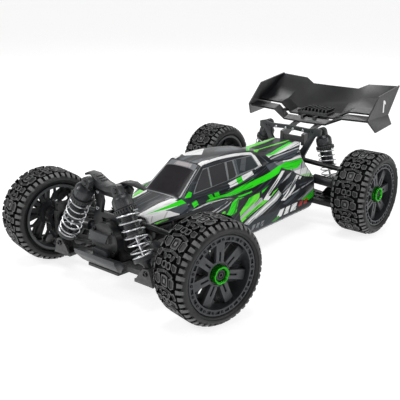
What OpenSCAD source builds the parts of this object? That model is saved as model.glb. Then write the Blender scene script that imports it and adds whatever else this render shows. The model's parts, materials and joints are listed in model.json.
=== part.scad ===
// Four-wheel-drive radio-control buggy, millimetres.
// +Z is up, -Y is the front of the car, +X is the car's left side.
// The origin is on the ground under the middle of the car's overall box.

/* [Layout] */
// Distance between the front and rear axles
wheelbase = 324; // [322:1:326]
// Height of the chassis underside above the ground
ride_height = 25; // [24:1:26]
// Steering angle of both front wheels as they stand, negative to the car's right
steer_rest = -12.5; // [-14:0.5:14]

/* [Wheels] */
// Rolling radius of the tyre
tyre_r = 54; // [53:0.5:55]
// Overall width of the tyre
tyre_w = 50; // [48:1:50]
// Distance from the car's middle to the tyre's middle plane
half_track = 125; // [125:1:127]
// Outer radius of the rim's clamping rings
ring_r = 41.2; // [41:0.1:42]
// Number of spokes in a rim
spokes = 7; // [5:1:9]

/* [Suspension] */
// Distance from the car's middle to the inner hinge pins
inner_x = 24; // [24:0.5:25]
// Horizontal reach of an arm from its inner to its outer hinge
arm_reach = 74; // [74:0.5:75]
// How much lower an arm's outer hinge is than its inner one
arm_fall = 4; // [3:0.5:5]
// Height of the lower inner hinge pins
hinge_z = 33; // [33:0.5:34]
// Radius of the hinge pins
pin_r = 1.5; // [1.5:0.1:1.6]
// Radial clearance of a running pin
run_fit = 0.05; // [0.03:0.01:0.08]
// Distance from the kingpin's axis to the tyre's middle plane
kingpin_offset = 16; // [16:0.5:17]

/* [Shocks] */
// Upper front shock pivot, distance from the car's middle
front_shock_x = 22.5; // [22:0.5:23]
// Upper rear shock pivot, distance from the car's middle
rear_shock_x = 44; // [43.5:0.5:44.5]
// Height of the upper shock pivots
shock_top_z = 119; // [118:0.5:120]
// Mean radius of the spring's coils
coil_r = 11.4; // [11.2:0.1:11.6]
// Radius of the spring wire
wire_r = 0.8; // [0.6:0.1:0.9]
// Number of turns in a spring
coil_turns = 7; // [6:1:8]

/* [Body] */
// Wall thickness of the body shell
shell_t = 1.5; // [1.2:0.1:1.6]

/* [Wing] */
// Thickness of the wing's planes
wing_t = 2.4; // [2:0.1:2.6]

/* [Drive] */
// Teeth on the spur gear
spur_teeth = 50; // [50:1:50]
// Teeth on the pinion
pinion_teeth = 15; // [15:1:15]
// Gear module
gear_m = 0.8; // [0.8:0.01:0.8]

/* [Hidden] */

$fn = 48;

// The overall box runs from the steered front tyre to the wing's tail,
// so its middle is this far behind the middle of the wheelbase.
middle_y = 39.5;
front_y = -wheelbase / 2;
rear_y = wheelbase / 2;

// Suspension points, seen from behind on the car's left: [x, z].
outer_x = inner_x + arm_reach;
arm_tilt = atan(arm_fall / arm_reach);
arm_len = norm([arm_reach, arm_fall]);
lower_outer_z = hinge_z - arm_fall;
front_link_z = 74;
rear_link_z = 80;
front_link_y = 6;
rear_link_y = 2;
kingpin_x = half_track - kingpin_offset;
axle_z = tyre_r;
shaft_in = [kingpin_x - arm_reach, axle_z + arm_fall];
shock_foot = [66, 41];
front_shock_y = -25;
rear_shock_y = 21;

// Steering points in plan, measured from the front axle on the centre line.
steer_arm = 24;
bell_x = 18;
bell_y = 26;
drag_z = 56;
link_in_x = 35;

// Drive line
shaft_z = 52;
spur_y = 60;
gear_w = 6;
spur_r = gear_m * spur_teeth / 2;
pinion_r = gear_m * pinion_teeth / 2;
gear_gap = spur_r + pinion_r;
shaft_r = 3;

deck_z = ride_height + 3;

// ---------------------------------------------------------------- placing

module at_origin() translate([0, -middle_y, 0]) children();
module front_left() at_origin() translate([0, front_y, 0]) children();
module front_right() at_origin() translate([0, front_y, 0])
    mirror([1, 0, 0]) children();
module rear_left() at_origin() translate([0, rear_y, 0]) children();
module rear_right() at_origin() translate([0, rear_y, 0])
    mirror([1, 0, 0]) children();

// Turns a part made straight ahead about the left or right kingpin.
module steered(side) at_origin()
    translate([side * kingpin_x, front_y, 0])
    rotate([0, 0, steer_rest])
    translate([-side * kingpin_x, 0, 0])
    scale_side(side) children();
module scale_side(side) {
    if (side > 0) children();
    else mirror([1, 0, 0]) children();
}

// Cylinder along X, Y or Z from a start point.
module rod_x(p, r, len) translate(p) rotate([0, 90, 0]) cylinder(r = r, h = len);
module rod_y(p, r, len) translate(p) rotate([-90, 0, 0]) cylinder(r = r, h = len);
module rod_z(p, r, len) translate(p) cylinder(r = r, h = len);
module box(low, high) translate(low) cube(high - low);

// Cylinder between two points.
module strut(a, b, r) {
    d = b - a;
    translate(a)
        rotate([0, acos(d[2] / norm(d)), atan2(d[1], d[0])])
        cylinder(r = r, h = norm(d));
}

// Plate standing across the car: an outline in [x, z], from y0 to y1.
module plate_xz(outline, y0, y1) translate([0, y1, 0]) rotate([90, 0, 0])
    linear_extrude(y1 - y0) polygon(outline);
// Plate standing along the car: an outline in [y, z], from x0 to x1.
module plate_yz(outline, x0, x1) translate([x0, 0, 0])
    rotate([90, 0, 90]) linear_extrude(x1 - x0) polygon(outline);

function turn(v, a) = [v[0] * cos(a) - v[1] * sin(a),
                       v[0] * sin(a) + v[1] * cos(a)];
function both_sides(pts) =
    concat(pts, [for (i = [len(pts) - 1:-1:0]) [-pts[i][0], pts[i][1]]]);

// ------------------------------------------------------ sheets from grids

function clamp_to(i, n) = max(0, min(n - 1, i));
function grid_normal(g, i, j) =
    let (a = g[clamp_to(i + 1, len(g))][j] - g[clamp_to(i - 1, len(g))][j],
         b = g[i][clamp_to(j + 1, len(g[0]))]
           - g[i][clamp_to(j - 1, len(g[0]))],
         n = cross(a, b))
    n / norm(n);

// Closed sheet of thickness t below a grid of points. Rows run to the rear
// and columns run from the car's left to its right.
module sheet(g, t) {
    n = len(g);
    m = len(g[0]);
    last = n * m;
    top = [for (i = [0:n - 1]) for (j = [0:m - 1]) g[i][j]];
    low = [for (i = [0:n - 1]) for (j = [0:m - 1])
        g[i][j] - t * grid_normal(g, i, j)];
    outer = [for (i = [0:n - 2]) for (j = [0:m - 2])
        let (a = i * m + j, b = a + 1, c = b + m, d = a + m)
        each [[a, b, c], [a, c, d]]];
    inner = [for (f = outer) [last + f[2], last + f[1], last + f[0]]];
    rim = concat(
        [for (j = [0:m - 2]) [j + 1, j]],
        [for (j = [0:m - 2]) [(n - 1) * m + j, (n - 1) * m + j + 1]],
        [for (i = [0:n - 2]) [i * m, (i + 1) * m]],
        [for (i = [0:n - 2]) [(i + 2) * m - 1, (i + 1) * m - 1]]);
    walls = [for (e = rim)
        each [[e[0], e[1], last + e[1]], [e[0], last + e[1], last + e[0]]]];
    polyhedron(concat(top, low), concat(outer, inner, walls));
}

// Rows of left-hand points, centre first, made into full rows.
function full_rows(half) = [for (r = half)
    concat([for (j = [len(r) - 1:-1:1]) r[j]],
           [for (j = [0:len(r) - 1]) [-r[j][0], r[j][1], r[j][2]]])];

// ----------------------------------------------------------------- chassis

tub_half = [[23, -191], [27, -146], [36, -118], [52, -70], [55, -30],
            [55, 118], [28, 139], [27, 178]];
tub_outline = both_sides(tub_half);
tub_h = 15;

module chassis_tub() at_origin() color("#26272a") {
    difference() {
        translate([0, 0, ride_height]) linear_extrude(tub_h)
            polygon(tub_outline);
        translate([0, 0, deck_z]) linear_extrude(20)
            offset(delta = -2.5) polygon(tub_outline);
        box([-60, -220, deck_z], [60, -128, 60]);
        box([-60, 130, deck_z], [60, 190, 60]);
    }
    // post for the right bellcrank
    rod_z([-bell_x, front_y + bell_y, deck_z - 0.5], 4, 22);
    rod_z([-bell_x, front_y + bell_y, deck_z], 3, 36);
    // body posts
    for (s = [-1, 1]) {
        rod_z([s * 48, 112, deck_z - 0.5], 3, 28);
        rod_z([s * 14, -96, deck_z - 0.5], 3, 50);
    }
}

// -------------------------------------------------------------- body shell

// Half outline of the shell: each row runs from the centre line over the
// shoulder to the lower edge, and the rows run from the nose to the tail.
body_half = [
    [[0, -162, 82], [13, -161, 83], [22, -156, 83], [25, -150, 79],
     [26, -148, 73], [25, -146, 69], [24, -145, 67]],
    [[0, -130, 88], [16, -130, 88], [25, -128, 87], [31, -127, 81],
     [34, -126, 75], [33, -125, 71], [32, -125, 69]],
    [[0, -99, 91], [20, -96, 91], [28.5, -94, 89], [40, -97, 83],
     [44, -103, 77], [42, -103, 73], [41, -103, 71]],
    [[0, -82, 103], [19, -80, 103], [27, -78, 101], [36, -78, 84],
     [56, -74, 84], [55, -74, 80], [54, -73, 74]],
    [[0, -58, 119], [18, -57, 119], [24, -54, 118], [35, -50, 83],
     [58, -50, 83], [57, -48, 79], [59, -42, 60]],
    [[0, -25, 123], [18, -25, 122.5], [24, -27, 119], [34, -25, 82],
     [56, -25, 77], [55, -25, 73], [62, -20, 27]],
    [[0, 15, 120.5], [17, 15, 120], [25, 15, 116], [33, 15, 87],
     [56, 20, 70], [60, 20, 64], [62, 20, 27]],
    [[0, 45, 116.5], [17, 45, 116], [25, 42, 111], [31, 57, 93],
     [53, 60, 83], [63, 45, 58], [62, 50, 27]],
    [[0, 70, 108], [16, 70, 108], [26, 70, 104], [38, 74, 97],
     [49, 76, 92], [63, 70, 57], [62, 75, 27]],
    [[0, 90, 104], [16, 90, 104], [28, 92, 101], [40, 95, 95],
     [50, 89, 86], [63, 92, 57], [62, 95, 27]],
    [[0, 125, 104], [16, 125, 104], [27, 125, 102], [38, 120, 92],
     [49, 115, 82], [62, 118, 60], [62, 118, 27]],
    [[0, 165, 104], [12, 165, 104], [22, 163, 104], [30, 148, 99],
     [40, 142, 86], [60, 141, 65], [62, 141, 27]]];

module body_shell() at_origin() color("#2fd01c")
    sheet(full_rows(body_half), shell_t);

// ------------------------------------------------------------------- wing

wing_main = [
    [[0, 226, 130], [36, 226, 130], [57, 233, 141], [97, 234, 142]],
    [[0, 248, 133], [36, 248, 133], [57, 253, 145], [97, 254, 146]],
    [[0, 272, 147], [36, 272, 147], [56, 275, 155], [97, 277, 157]],
    [[0, 292, 164], [38, 293, 164], [52, 297, 171], [97, 300, 173]]];
wing_slat = [
    [[0, 207, 123], [34, 206, 124], [56, 213, 134], [97, 211, 136]],
    [[0, 221, 127], [36, 221, 127.5], [57, 229, 138], [97, 230, 139]]];
// Endplate: front edge, rear edge; upper panel then the bent lower flange.
endplate = [
    [[96.5, 237.5, 166], [96.5, 207, 137], [104, 221, 119]],
    [[96.5, 300.5, 174], [96.5, 270, 136], [104, 268, 123]]];

module wing() at_origin() color("#1d1d20") {
    sheet(full_rows(wing_main), wing_t);
    sheet(full_rows(wing_slat), wing_t);
    for (s = [-1, 1]) scale_side(s) {
        sheet(endplate, wing_t);
        // bridges across the slot
        box([8, 216, 124], [12, 229.5, 129.5]);
        box([43, 222, 129.5], [47, 233, 134]);
    }
    // ribbed saddle where the struts bolt on
    box([-24, 229, 125.5], [24, 252, 132.5]);
    for (x = [-18:6:18]) box([x - 1, 236, 132], [x + 1, 262, 141]);
}

strut_outline = [[176, 96], [183, 96], [193, 106], [214, 116], [232, 119],
                 [250, 125.2], [230, 125.2], [222, 124], [196, 116],
                 [176, 112]];
module wing_mount() at_origin() color("#202124") {
    for (s = [-1, 1]) scale_side(s) difference() {
        plate_yz(strut_outline, 15, 20);
        plate_yz([[196, 111], [213, 119], [200, 114.5]], 10, 25);
    }
    box([-17, 230, 121], [17, 236, 125.2]);
    box([-17, 177, 100], [17, 181, 108]);
}

// ------------------------------------------------------------ shock towers

front_tower_half = [[12, 66], [16, 84], [13, 96], [17, 112], [26, 123],
                    [31, 118], [27, 108], [23, 92], [28, 78], [26, 66]];
module front_shock_tower() front_left() color("#222326") {
    for (s = [-1, 1]) scale_side(s) {
        difference() {
            plate_xz(front_tower_half, -14, -9.5);
            gearbox_drums(front_dome_r);
        }
        rod_y([front_shock_x, -31, shock_top_z], pin_r, 20);
    }
    box([-17, -14, 104], [17, -9.5, 111]);
    box([-17, -14, 78.5], [17, -9.5, 84]);
}

rear_tower_half = [[14, 70], [14, 84], [30, 108], [30, 117], [0, 119],
                   [0, 124], [30, 123], [42, 126], [50, 124], [50, 116],
                   [41, 113], [26, 84], [26, 70]];
module rear_shock_tower() rear_left() color("#33353a") {
    for (s = [-1, 1]) scale_side(s) {
        difference() {
            plate_xz(rear_tower_half, 6, 10);
            for (x = [33, 38]) rod_y([x, 4, 119.5], 1.2, 8);
            gearbox_drums(rear_dome_r);
        }
        rod_y([rear_shock_x, 9, shock_top_z], pin_r, 18);
    }
    box([-15, 6, 76.5], [15, 10, 82]);
}

guard_half = [[0, 111.5], [14, 113], [20, 121.2], [27, 123.6],
              [32, 122.8], [44, 118.8], [45, 121], [33, 126], [22, 125.6],
              [8, 119], [0, 117]];
module tower_guard() front_left() color("#1b1c1e") {
    for (s = [-1, 1]) scale_side(s) difference() {
        plate_xz(guard_half, -21, -6);
        // the fins sweep back towards their tips
        translate([0, 0, 100]) linear_extrude(40)
            polygon([[14, -22], [50, -22], [50, -9], [44, -9.5]]);
    }
}

// --------------------------------------------------------------- gearboxes

// Round housings of a gearbox: the differential's and the ring gear's.
front_dome_r = 20;
rear_dome_r = 18;
module gearbox_drums(dome_r) {
    rod_x([-18.5, 0, shaft_in[1]], 17, 37);
    rod_y([0, -26, shaft_in[1]], dome_r, 36);
}

// One gearbox, made for the front; flip turns its nose to the rear.
module gearbox_body(flip, dome_r) {
    s = flip ? -1 : 1;
    difference() {
        union() {
            box([-19, min(-s * 22, s * 18), deck_z],
                [19, max(-s * 22, s * 18), 62]);
            box([-inner_x, -11.5, deck_z + 1.5], [inner_x, 11.5, hinge_z + 3]);
            rotate([0, 0, flip ? 180 : 0]) gearbox_drums(dome_r);
            rod_x([-shaft_in[0] - 2, 0, shaft_in[1]], 9,
                  2 * shaft_in[0] + 4);
            for (x = [-inner_x, inner_x])
                rod_y([x, -11.5, hinge_z], 4.6, 23);
        }
        for (x = [-inner_x, inner_x])
            rod_y([x, -30, hinge_z], pin_r + 0.02, 60);
        for (x = [-shaft_in[0] - 3, shaft_in[0] - 7])
            rod_x([x, 0, shaft_in[1]], 6.6, 10);
        rod_y([0, s * 14 - 7, shaft_z], shaft_r + run_fit, 14);
    }
}

module front_gearbox() front_left() color("#2a2b2e") {
    gearbox_body(false, front_dome_r);
    // blank raised block on the nose
    box([-18, -30, 58], [11, -25, 68]);
    // link bracket
    for (s = [-1, 1]) scale_side(s) {
        box([16, front_link_y - 7.5, 60],
            [inner_x + 3, front_link_y - 4, front_link_z + 4]);
        rod_y([inner_x, front_link_y - 5, front_link_z], pin_r, 9);
    }
}

module rear_gearbox() rear_left() color("#2a2b2e") {
    gearbox_body(true, rear_dome_r);
    for (s = [-1, 1]) scale_side(s) {
        box([12, rear_link_y - 7.5, 60], [inner_x + 3, rear_link_y - 4, 84]);
        rod_y([inner_x, rear_link_y - 5, rear_link_z], pin_r, 9);
    }
}

module front_bumper() at_origin() color("#3a3c3f") {
    difference() {
        translate([0, front_y, 0])
            plate_yz([[-28, ride_height + 3.2], [-26, ride_height + 3.2],
                      [-26, 41], [-42, 47], [-41, 42], [-34, 33]], -31, 31);
        // the plate narrows towards its lower edge
        for (s = [-1, 1]) scale_side(s)
            translate([0, front_y - 20, 0]) rotate([90, 0, 0])
                linear_extrude(30)
                    polygon([[21, 20], [32, 42], [40, 42], [40, 20]]);
    }
}

// --------------------------------------------------------- inner equipment

module motor() at_origin() color("#77797d") {
    difference() {
        union() {
            rod_y([gear_gap, spur_y + 7.5, shaft_z], 18, 54);
            box([-9, spur_y + 4.5, deck_z], [46, spur_y + 8, 66]);
        }
        rod_y([0, spur_y, shaft_z], 6, 20);
        rod_y([gear_gap, spur_y, shaft_z], 2.5 + run_fit, 14);
    }
}

module battery() at_origin() color("#2b4a8c")
    box([-50, -58, deck_z], [-9, 52, 54]);

module speed_control() at_origin() color("#1c1c1f") {
    box([9, -64, deck_z], [46, -14, 46]);
    for (x = [12:4:40]) box([x, -60, 45], [x + 1.6, -20, 54]);
}

module steering_servo() front_left() color("#202226") {
    difference() {
        union() {
            box([bell_x - 10, bell_y - 1.8, deck_z],
                [bell_x + 10, bell_y + 32, 50]);
            box([bell_x - 9, bell_y - 7.8, 42], [bell_x + 9, bell_y + 37, 45]);
            rod_z([bell_x, bell_y, 49], shaft_r, 14);
        }
        for (y = [-5.2, 34.5])
            rod_z([bell_x, bell_y + y, 40], 1.5, 8);
    }
}

module hinge_pins() at_origin() color("#c8cacd")
    for (y = [front_y, rear_y]) for (s = [-1, 1])
        rod_y([s * inner_x, y - 24, hinge_z], pin_r, 48);

// ------------------------------------------------------------------- gears

// Toothed wheel along Y, its middle at the origin.
module toothed(teeth, width, phase) {
    r = gear_m * teeth / 2;
    step = 360 / teeth;
    outline = [for (i = [0:teeth - 1])
        for (q = [[-0.3, -1.2], [-0.13, 1], [0.13, 1], [0.3, -1.2]])
            let (a = (i + q[0]) * step + phase, rr = r + q[1] * gear_m * 0.92)
            [rr * cos(a), rr * sin(a)]];
    translate([0, width / 2, 0]) rotate([90, 0, 0])
        linear_extrude(width) polygon(outline);
}

module spur_gear() at_origin() color("#d8d8d2") {
    translate([0, spur_y, shaft_z]) difference() {
        toothed(spur_teeth, gear_w, 0);
        for (a = [0:60:300]) rotate([0, a, 0])
            rod_y([12, -10, 0], 3.2, 20);
    }
    rod_y([0, front_y + 15, shaft_z], shaft_r, wheelbase - 30);
}

module pinion() at_origin() color("#a9abb0") {
    translate([gear_gap, spur_y, shaft_z])
        toothed(pinion_teeth, gear_w, 180 + 180 / pinion_teeth);
    rod_y([gear_gap, spur_y - 3, shaft_z], 2.5, 14);
}

// ---------------------------------------------------------------- steering

// The crank's arm runs parallel to the knuckle's steering arm.
module bellcrank(side) at_origin()
    translate([side * bell_x, front_y + bell_y, 0])
    rotate([0, 0, steer_rest]) {
        difference() {
            union() {
                rod_z([0, 0, 51], 6.5, 12);
                translate([0, 0, 59.5]) linear_extrude(3.5)
                    polygon([[-6, 0], [6, 0], [4, steer_arm],
                             [-4, steer_arm]]);
                rod_z([0, steer_arm, 59.5], 4, 3.5);
            }
            rod_z([0, 0, 48], shaft_r + run_fit, 20);
        }
        rod_z([0, steer_arm, 52], 2, 8);
    }
module bellcrank_left() color("#2c2d30") bellcrank(1);
module bellcrank_right() color("#2c2d30") bellcrank(-1);

drag_shift = turn([0, steer_arm], steer_rest) - [0, steer_arm];
drag_y = bell_y + steer_arm;

module drag_link() front_left() color("#c3c5c9")
    translate([drag_shift[0], drag_shift[1], 0]) {
        difference() {
            box([-link_in_x - 5, drag_y - 4, drag_z - 0.8],
                [link_in_x + 5, drag_y + 6.5, drag_z + 3.3]);
            for (s = [-1, 1]) {
                rod_z([s * bell_x, drag_y, 50], 2 + run_fit, 12);
                scale_side(s)
                    box([link_in_x - 8, drag_y - 10, 50],
                        [link_in_x + 8, drag_y + 3, 62]);
            }
        }
        for (s = [-1, 1])
            rod_y([s * link_in_x, drag_y - 2.5, drag_z], pin_r, 7);
    }

// Made on the car's left in the straight-ahead place.
module toe_link() {
    a = [link_in_x, drag_y, drag_z];
    b = [kingpin_x, steer_arm, drag_z - arm_fall];
    difference() {
        union() {
            rod_y([a[0], a[1] - 2.5, a[2]], 4, 5);
            strut(a, b, 2.3);
            rod_z([b[0], b[1], b[2] - 3], 4.6, 6);
        }
        rod_y([a[0], a[1] - 6, a[2]], pin_r + run_fit, 12);
        rod_z([b[0], b[1], b[2] - 6], 2.65, 12);
    }
}
module toe_link_fl() color("#1e1f21") front_left()
    translate([drag_shift[0], drag_shift[1], 0]) toe_link();
module toe_link_fr() color("#1e1f21") front_left()
    translate([drag_shift[0], drag_shift[1], 0])
    mirror([1, 0, 0]) toe_link();

// -------------------------------------------------------------- lower arms

// Plan outline of an arm from its inner hinge, on the car's left. shock_y
// is the side on which the shock stands.
module lower_arm(shock_y) {
    s = sign(shock_y);
    foot = shock_foot;
    difference() {
        union() {
            translate([inner_x, 0, hinge_z]) rotate([0, arm_tilt, 0])
                translate([0, 0, -3]) linear_extrude(6)
                difference() {
                    polygon([[1, -22], [26, -19], [arm_len, -14],
                             [arm_len, 14], [26, 19], [1, 22]]);
                    translate([-1, -11.8]) square([10, 23.6]);
                    translate([arm_len - 8, -8.9]) square([20, 17.8]);
                    polygon([[16, -12], [58, -8], [58, -2], [16, -3]]);
                    polygon([[16, 12], [58, 8], [58, 2], [16, 3]]);
                }
            rod_y([inner_x, -22, hinge_z], 4.8, 10);
            rod_y([inner_x, 12, hinge_z], 4.8, 10);
            rod_y([outer_x, -14, lower_outer_z], 4.2, 5);
            rod_y([outer_x, 9, lower_outer_z], 4.2, 5);
            // ears for the shock's lower eye
            for (y = [shock_y - 7, shock_y + 4.6])
                plate_xz([[foot[0] - 16, 29], [foot[0] + 10, 28],
                          [foot[0] + 5, foot[1] + 3], [foot[0] + 3,
                          foot[1] + 5], [foot[0] - 3, foot[1] + 5],
                          [foot[0] - 8, foot[1]]], y, y + 2.4);
            box([foot[0] - 16, min(s * 13, shock_y + s * 7), 28.2],
                [foot[0] + 9, max(s * 13, shock_y + s * 7), 31.5]);
        }
        rod_y([inner_x, -40, hinge_z], pin_r + run_fit, 80);
        rod_y([outer_x, -30, lower_outer_z], pin_r + run_fit, 60);
    }
    rod_y([foot[0], shock_y - 8, foot[1]], pin_r, 16);
}
module arm_fl() front_left() color("#232427") lower_arm(front_shock_y);
module arm_fr() front_right() color("#232427") lower_arm(front_shock_y);
module arm_rl() rear_left() color("#232427") lower_arm(rear_shock_y);
module arm_rr() rear_right() color("#232427") lower_arm(rear_shock_y);

// ------------------------------------------------------------ wheel uprights

// C-shaped block that holds the front knuckle between its jaws.
module caster_block() {
    link_out = front_link_z - arm_fall;
    difference() {
        union() {
            rod_y([outer_x, -8.5, lower_outer_z], 4, 17);
            box([outer_x - 3.5, -8.5, lower_outer_z],
                [outer_x + 0.5, 8.5, 73]);
            box([outer_x - 3.5, -12, 38], [outer_x + 0.5, 12, 66]);
            box([outer_x, -5, 35], [kingpin_x, 5, 40]);
            rod_z([kingpin_x, 0, 35], 5, 5);
            box([outer_x, -5, 68], [kingpin_x, 5, 73]);
            rod_z([kingpin_x, 0, 68], 5, 5);
            box([outer_x - 3, -8.5, 66],
                [outer_x + 2, front_link_y - 4, link_out + 4]);
        }
        rod_x([outer_x - 6, 0, axle_z], 9, 12);
        rod_z([kingpin_x, 0, 30], 2 + run_fit, 50);
        box([outer_x - 4, front_link_y - 4, link_out - 5],
            [outer_x + 5, 13, 80]);
    }
    rod_y([outer_x, -14, lower_outer_z], pin_r, 28);
    rod_y([outer_x, front_link_y - 5, link_out], pin_r, 9);
}
module caster_block_fl() front_left() color("#1f2023") caster_block();
module caster_block_fr() front_right() color("#1f2023") caster_block();

// Bearing housing that steers about the kingpin.
module knuckle() {
    ball_z = drag_z - arm_fall;
    difference() {
        union() {
            rod_x([kingpin_x - 4.5, 0, axle_z], 12, 11);
            rod_z([kingpin_x, 0, 34], 2, 12);
            rod_z([kingpin_x, 0, 62], 2, 12);
            box([kingpin_x - 2.5, 8, ball_z - 8.5],
                [kingpin_x + 2.5, steer_arm, ball_z - 4.5]);
            rod_z([kingpin_x, steer_arm, ball_z - 8.5], 3.6, 4);
        }
        rod_x([kingpin_x - 10, 0, axle_z], 8 + run_fit, 24);
    }
    rod_z([kingpin_x, steer_arm, ball_z - 5.5], 1.3, 9.5);
    translate([kingpin_x, steer_arm, ball_z]) sphere(r = 2.6);
}
module knuckle_fl() color("#2d2e31") steered(1) knuckle();
module knuckle_fr() color("#2d2e31") steered(-1) knuckle();

// Rear upright: one bearing housing with its two hinge eyes.
module hub_carrier() {
    link_out = rear_link_z - arm_fall;
    difference() {
        union() {
            rod_x([kingpin_x - 7, 0, axle_z], 12.5, 14);
            rod_y([outer_x, -8.5, lower_outer_z], 4, 17);
            box([outer_x - 3, -8.5, lower_outer_z], [kingpin_x - 2, 8.5, 50]);
            box([outer_x - 3, -8.5, 60],
                [kingpin_x - 2, rear_link_y - 4, link_out + 4]);
        }
        rod_x([kingpin_x - 20, 0, axle_z], 8 + run_fit, 40);
        rod_x([kingpin_x - 20, 0, axle_z], 9.5, 14);
    }
    rod_y([outer_x, -14, lower_outer_z], pin_r, 28);
    rod_y([outer_x, rear_link_y - 5, link_out], pin_r, 9);
}
module hub_carrier_rl() rear_left() color("#1f2023") hub_carrier();
module hub_carrier_rr() rear_right() color("#1f2023") hub_carrier();

// -------------------------------------------------------------- camber links

// Upper link, its inner eye at height z and its length along X at y.
module camber_link(y, z) {
    a = [inner_x, y, z];
    b = [outer_x, y, z - arm_fall];
    difference() {
        union() {
            rod_y([a[0], y - 3.5, a[2]], 4.6, 7);
            rod_y([b[0], y - 3.5, b[2]], 4.6, 7);
            strut(a, b, 3.4);
        }
        rod_y([a[0], y - 8, a[2]], pin_r + run_fit, 16);
        rod_y([b[0], y - 8, b[2]], pin_r + run_fit, 16);
    }
}
module camber_link_fl() front_left() color("#18191b")
    camber_link(front_link_y, front_link_z);
module camber_link_fr() front_right() color("#18191b")
    camber_link(front_link_y, front_link_z);
module camber_link_rl() rear_left() color("#18191b")
    camber_link(rear_link_y, rear_link_z);
module camber_link_rr() rear_right() color("#18191b")
    camber_link(rear_link_y, rear_link_z);

// --------------------------------------------------------------- driveshafts

// Half shaft with a ball at each end and a thick telescopic middle, turned
// as one piece about its own axis.
ball_r = 6;
neck_r = 3.4;
module driveshaft() {
    a = [shaft_in[0], 0, shaft_in[1]];
    b = [kingpin_x, 0, axle_z];
    len = norm(b - a);
    ball = [for (t = [0:15:135]) [ball_r * sin(t), -ball_r * cos(t)]];
    translate(a) rotate([0, 90 + arm_tilt, 0]) rotate_extrude() polygon(
        concat(ball, [[neck_r, 12], [6.5, 13], [6.5, 42], [5.2, 43],
                      [5.2, 57], [neck_r, 59]],
               [for (p = [for (i = [len(ball) - 1:-1:0]) ball[i]])
                   [p[0], len - p[1]]]));
}
module driveshaft_fl() front_left() color("#1b1c1e") driveshaft();
module driveshaft_fr() front_right() color("#1b1c1e") driveshaft();
module driveshaft_rl() rear_left() color("#1b1c1e") driveshaft();
module driveshaft_rr() rear_right() color("#1b1c1e") driveshaft();

// -------------------------------------------------------------------- shocks

// Shock parts hang from the upper pivot along local -Z.
module shock_frame(top_x, y) {
    d = [shock_foot[0] - top_x, shock_foot[1] - shock_top_z];
    translate([top_x, y, shock_top_z])
        rotate([0, -atan2(d[0], -d[1]), 0]) children();
}
function shock_len(top_x) =
    norm([shock_foot[0] - top_x, shock_foot[1] - shock_top_z]);
collar_z = -24;
perch_up = 17;

module shock_body(top_x, y) shock_frame(top_x, y) {
    difference() {
        union() {
            rod_y([0, -4, 0], 6, 8);
            box([-6, -4, -8], [6, 4, 0]);
            rod_z([0, 0, -20], 10.6, 14);
            rod_z([0, 0, collar_z], 12.6, 4.5);
            rod_z([0, 0, -50], 8.4, 32);
        }
        rod_y([0, -10, 0], pin_r + run_fit, 20);
        rod_z([0, 0, -48], 6.6, 26);
        rod_z([0, 0, -52], pin_r + run_fit, 6);
    }
}
module shock_rod(top_x, y) {
    len = shock_len(top_x);
    shock_frame(top_x, y) difference() {
        union() {
            rod_z([0, 0, -len + 4], pin_r, len - 38);
            rod_z([0, 0, -38], 6.5, 3);
            rod_z([0, 0, -len + perch_up - 4], 12.2, 4);
            rod_z([0, 0, -len + 3], 4.3, perch_up - 5);
            rod_y([0, -4, -len], 5.6, 8);
        }
        rod_y([0, -8, -len], 2.6, 16);
    }
}

// Coil spring as one swept wire.
module coil_spring(top_x, y) {
    len = shock_len(top_x);
    z_top = collar_z - wire_r - 0.3;
    z_low = -len + perch_up + wire_r + 0.3;
    sides = 6;
    per_turn = 14;
    rings = coil_turns * per_turn;
    pts = [for (i = [0:rings]) for (k = [0:sides - 1])
        let (a = 360 * i / per_turn, b = 360 * k / sides,
             r = coil_r + wire_r * cos(b))
        [r * cos(a), r * sin(a),
         z_top + (z_low - z_top) * i / rings + wire_r * sin(b)]];
    quads = [for (i = [0:rings - 1]) for (k = [0:sides - 1])
        let (k2 = (k + 1) % sides)
        each [[i * sides + k, i * sides + k2, (i + 1) * sides + k2],
              [i * sides + k, (i + 1) * sides + k2, (i + 1) * sides + k]]];
    caps = [[for (k = [sides - 1:-1:0]) k],
            [for (k = [0:sides - 1]) rings * sides + k]];
    shock_frame(top_x, y) polyhedron(pts, concat(quads, caps));
}

module shock_body_fl() front_left() color("#2b2c30")
    shock_body(front_shock_x, front_shock_y);
module shock_body_fr() front_right() color("#2b2c30")
    shock_body(front_shock_x, front_shock_y);
module shock_body_rl() rear_left() color("#2b2c30")
    shock_body(rear_shock_x, rear_shock_y);
module shock_body_rr() rear_right() color("#2b2c30")
    shock_body(rear_shock_x, rear_shock_y);
module shock_rod_fl() front_left() color("#8d9096")
    shock_rod(front_shock_x, front_shock_y);
module shock_rod_fr() front_right() color("#8d9096")
    shock_rod(front_shock_x, front_shock_y);
module shock_rod_rl() rear_left() color("#8d9096")
    shock_rod(rear_shock_x, rear_shock_y);
module shock_rod_rr() rear_right() color("#8d9096")
    shock_rod(rear_shock_x, rear_shock_y);
module spring_fl() front_left() color("#dcdee2")
    coil_spring(front_shock_x, front_shock_y);
module spring_fr() front_right() color("#dcdee2")
    coil_spring(front_shock_x, front_shock_y);
module spring_rl() rear_left() color("#dcdee2")
    coil_spring(rear_shock_x, rear_shock_y);
module spring_rr() rear_right() color("#dcdee2")
    coil_spring(rear_shock_x, rear_shock_y);

// -------------------------------------------------------------------- wheels

// Wheel parts are made with their axis along local +Z, which points out.
module wheel_frame() translate([half_track, 0, axle_z])
    rotate([0, 90, 0]) children();

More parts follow.
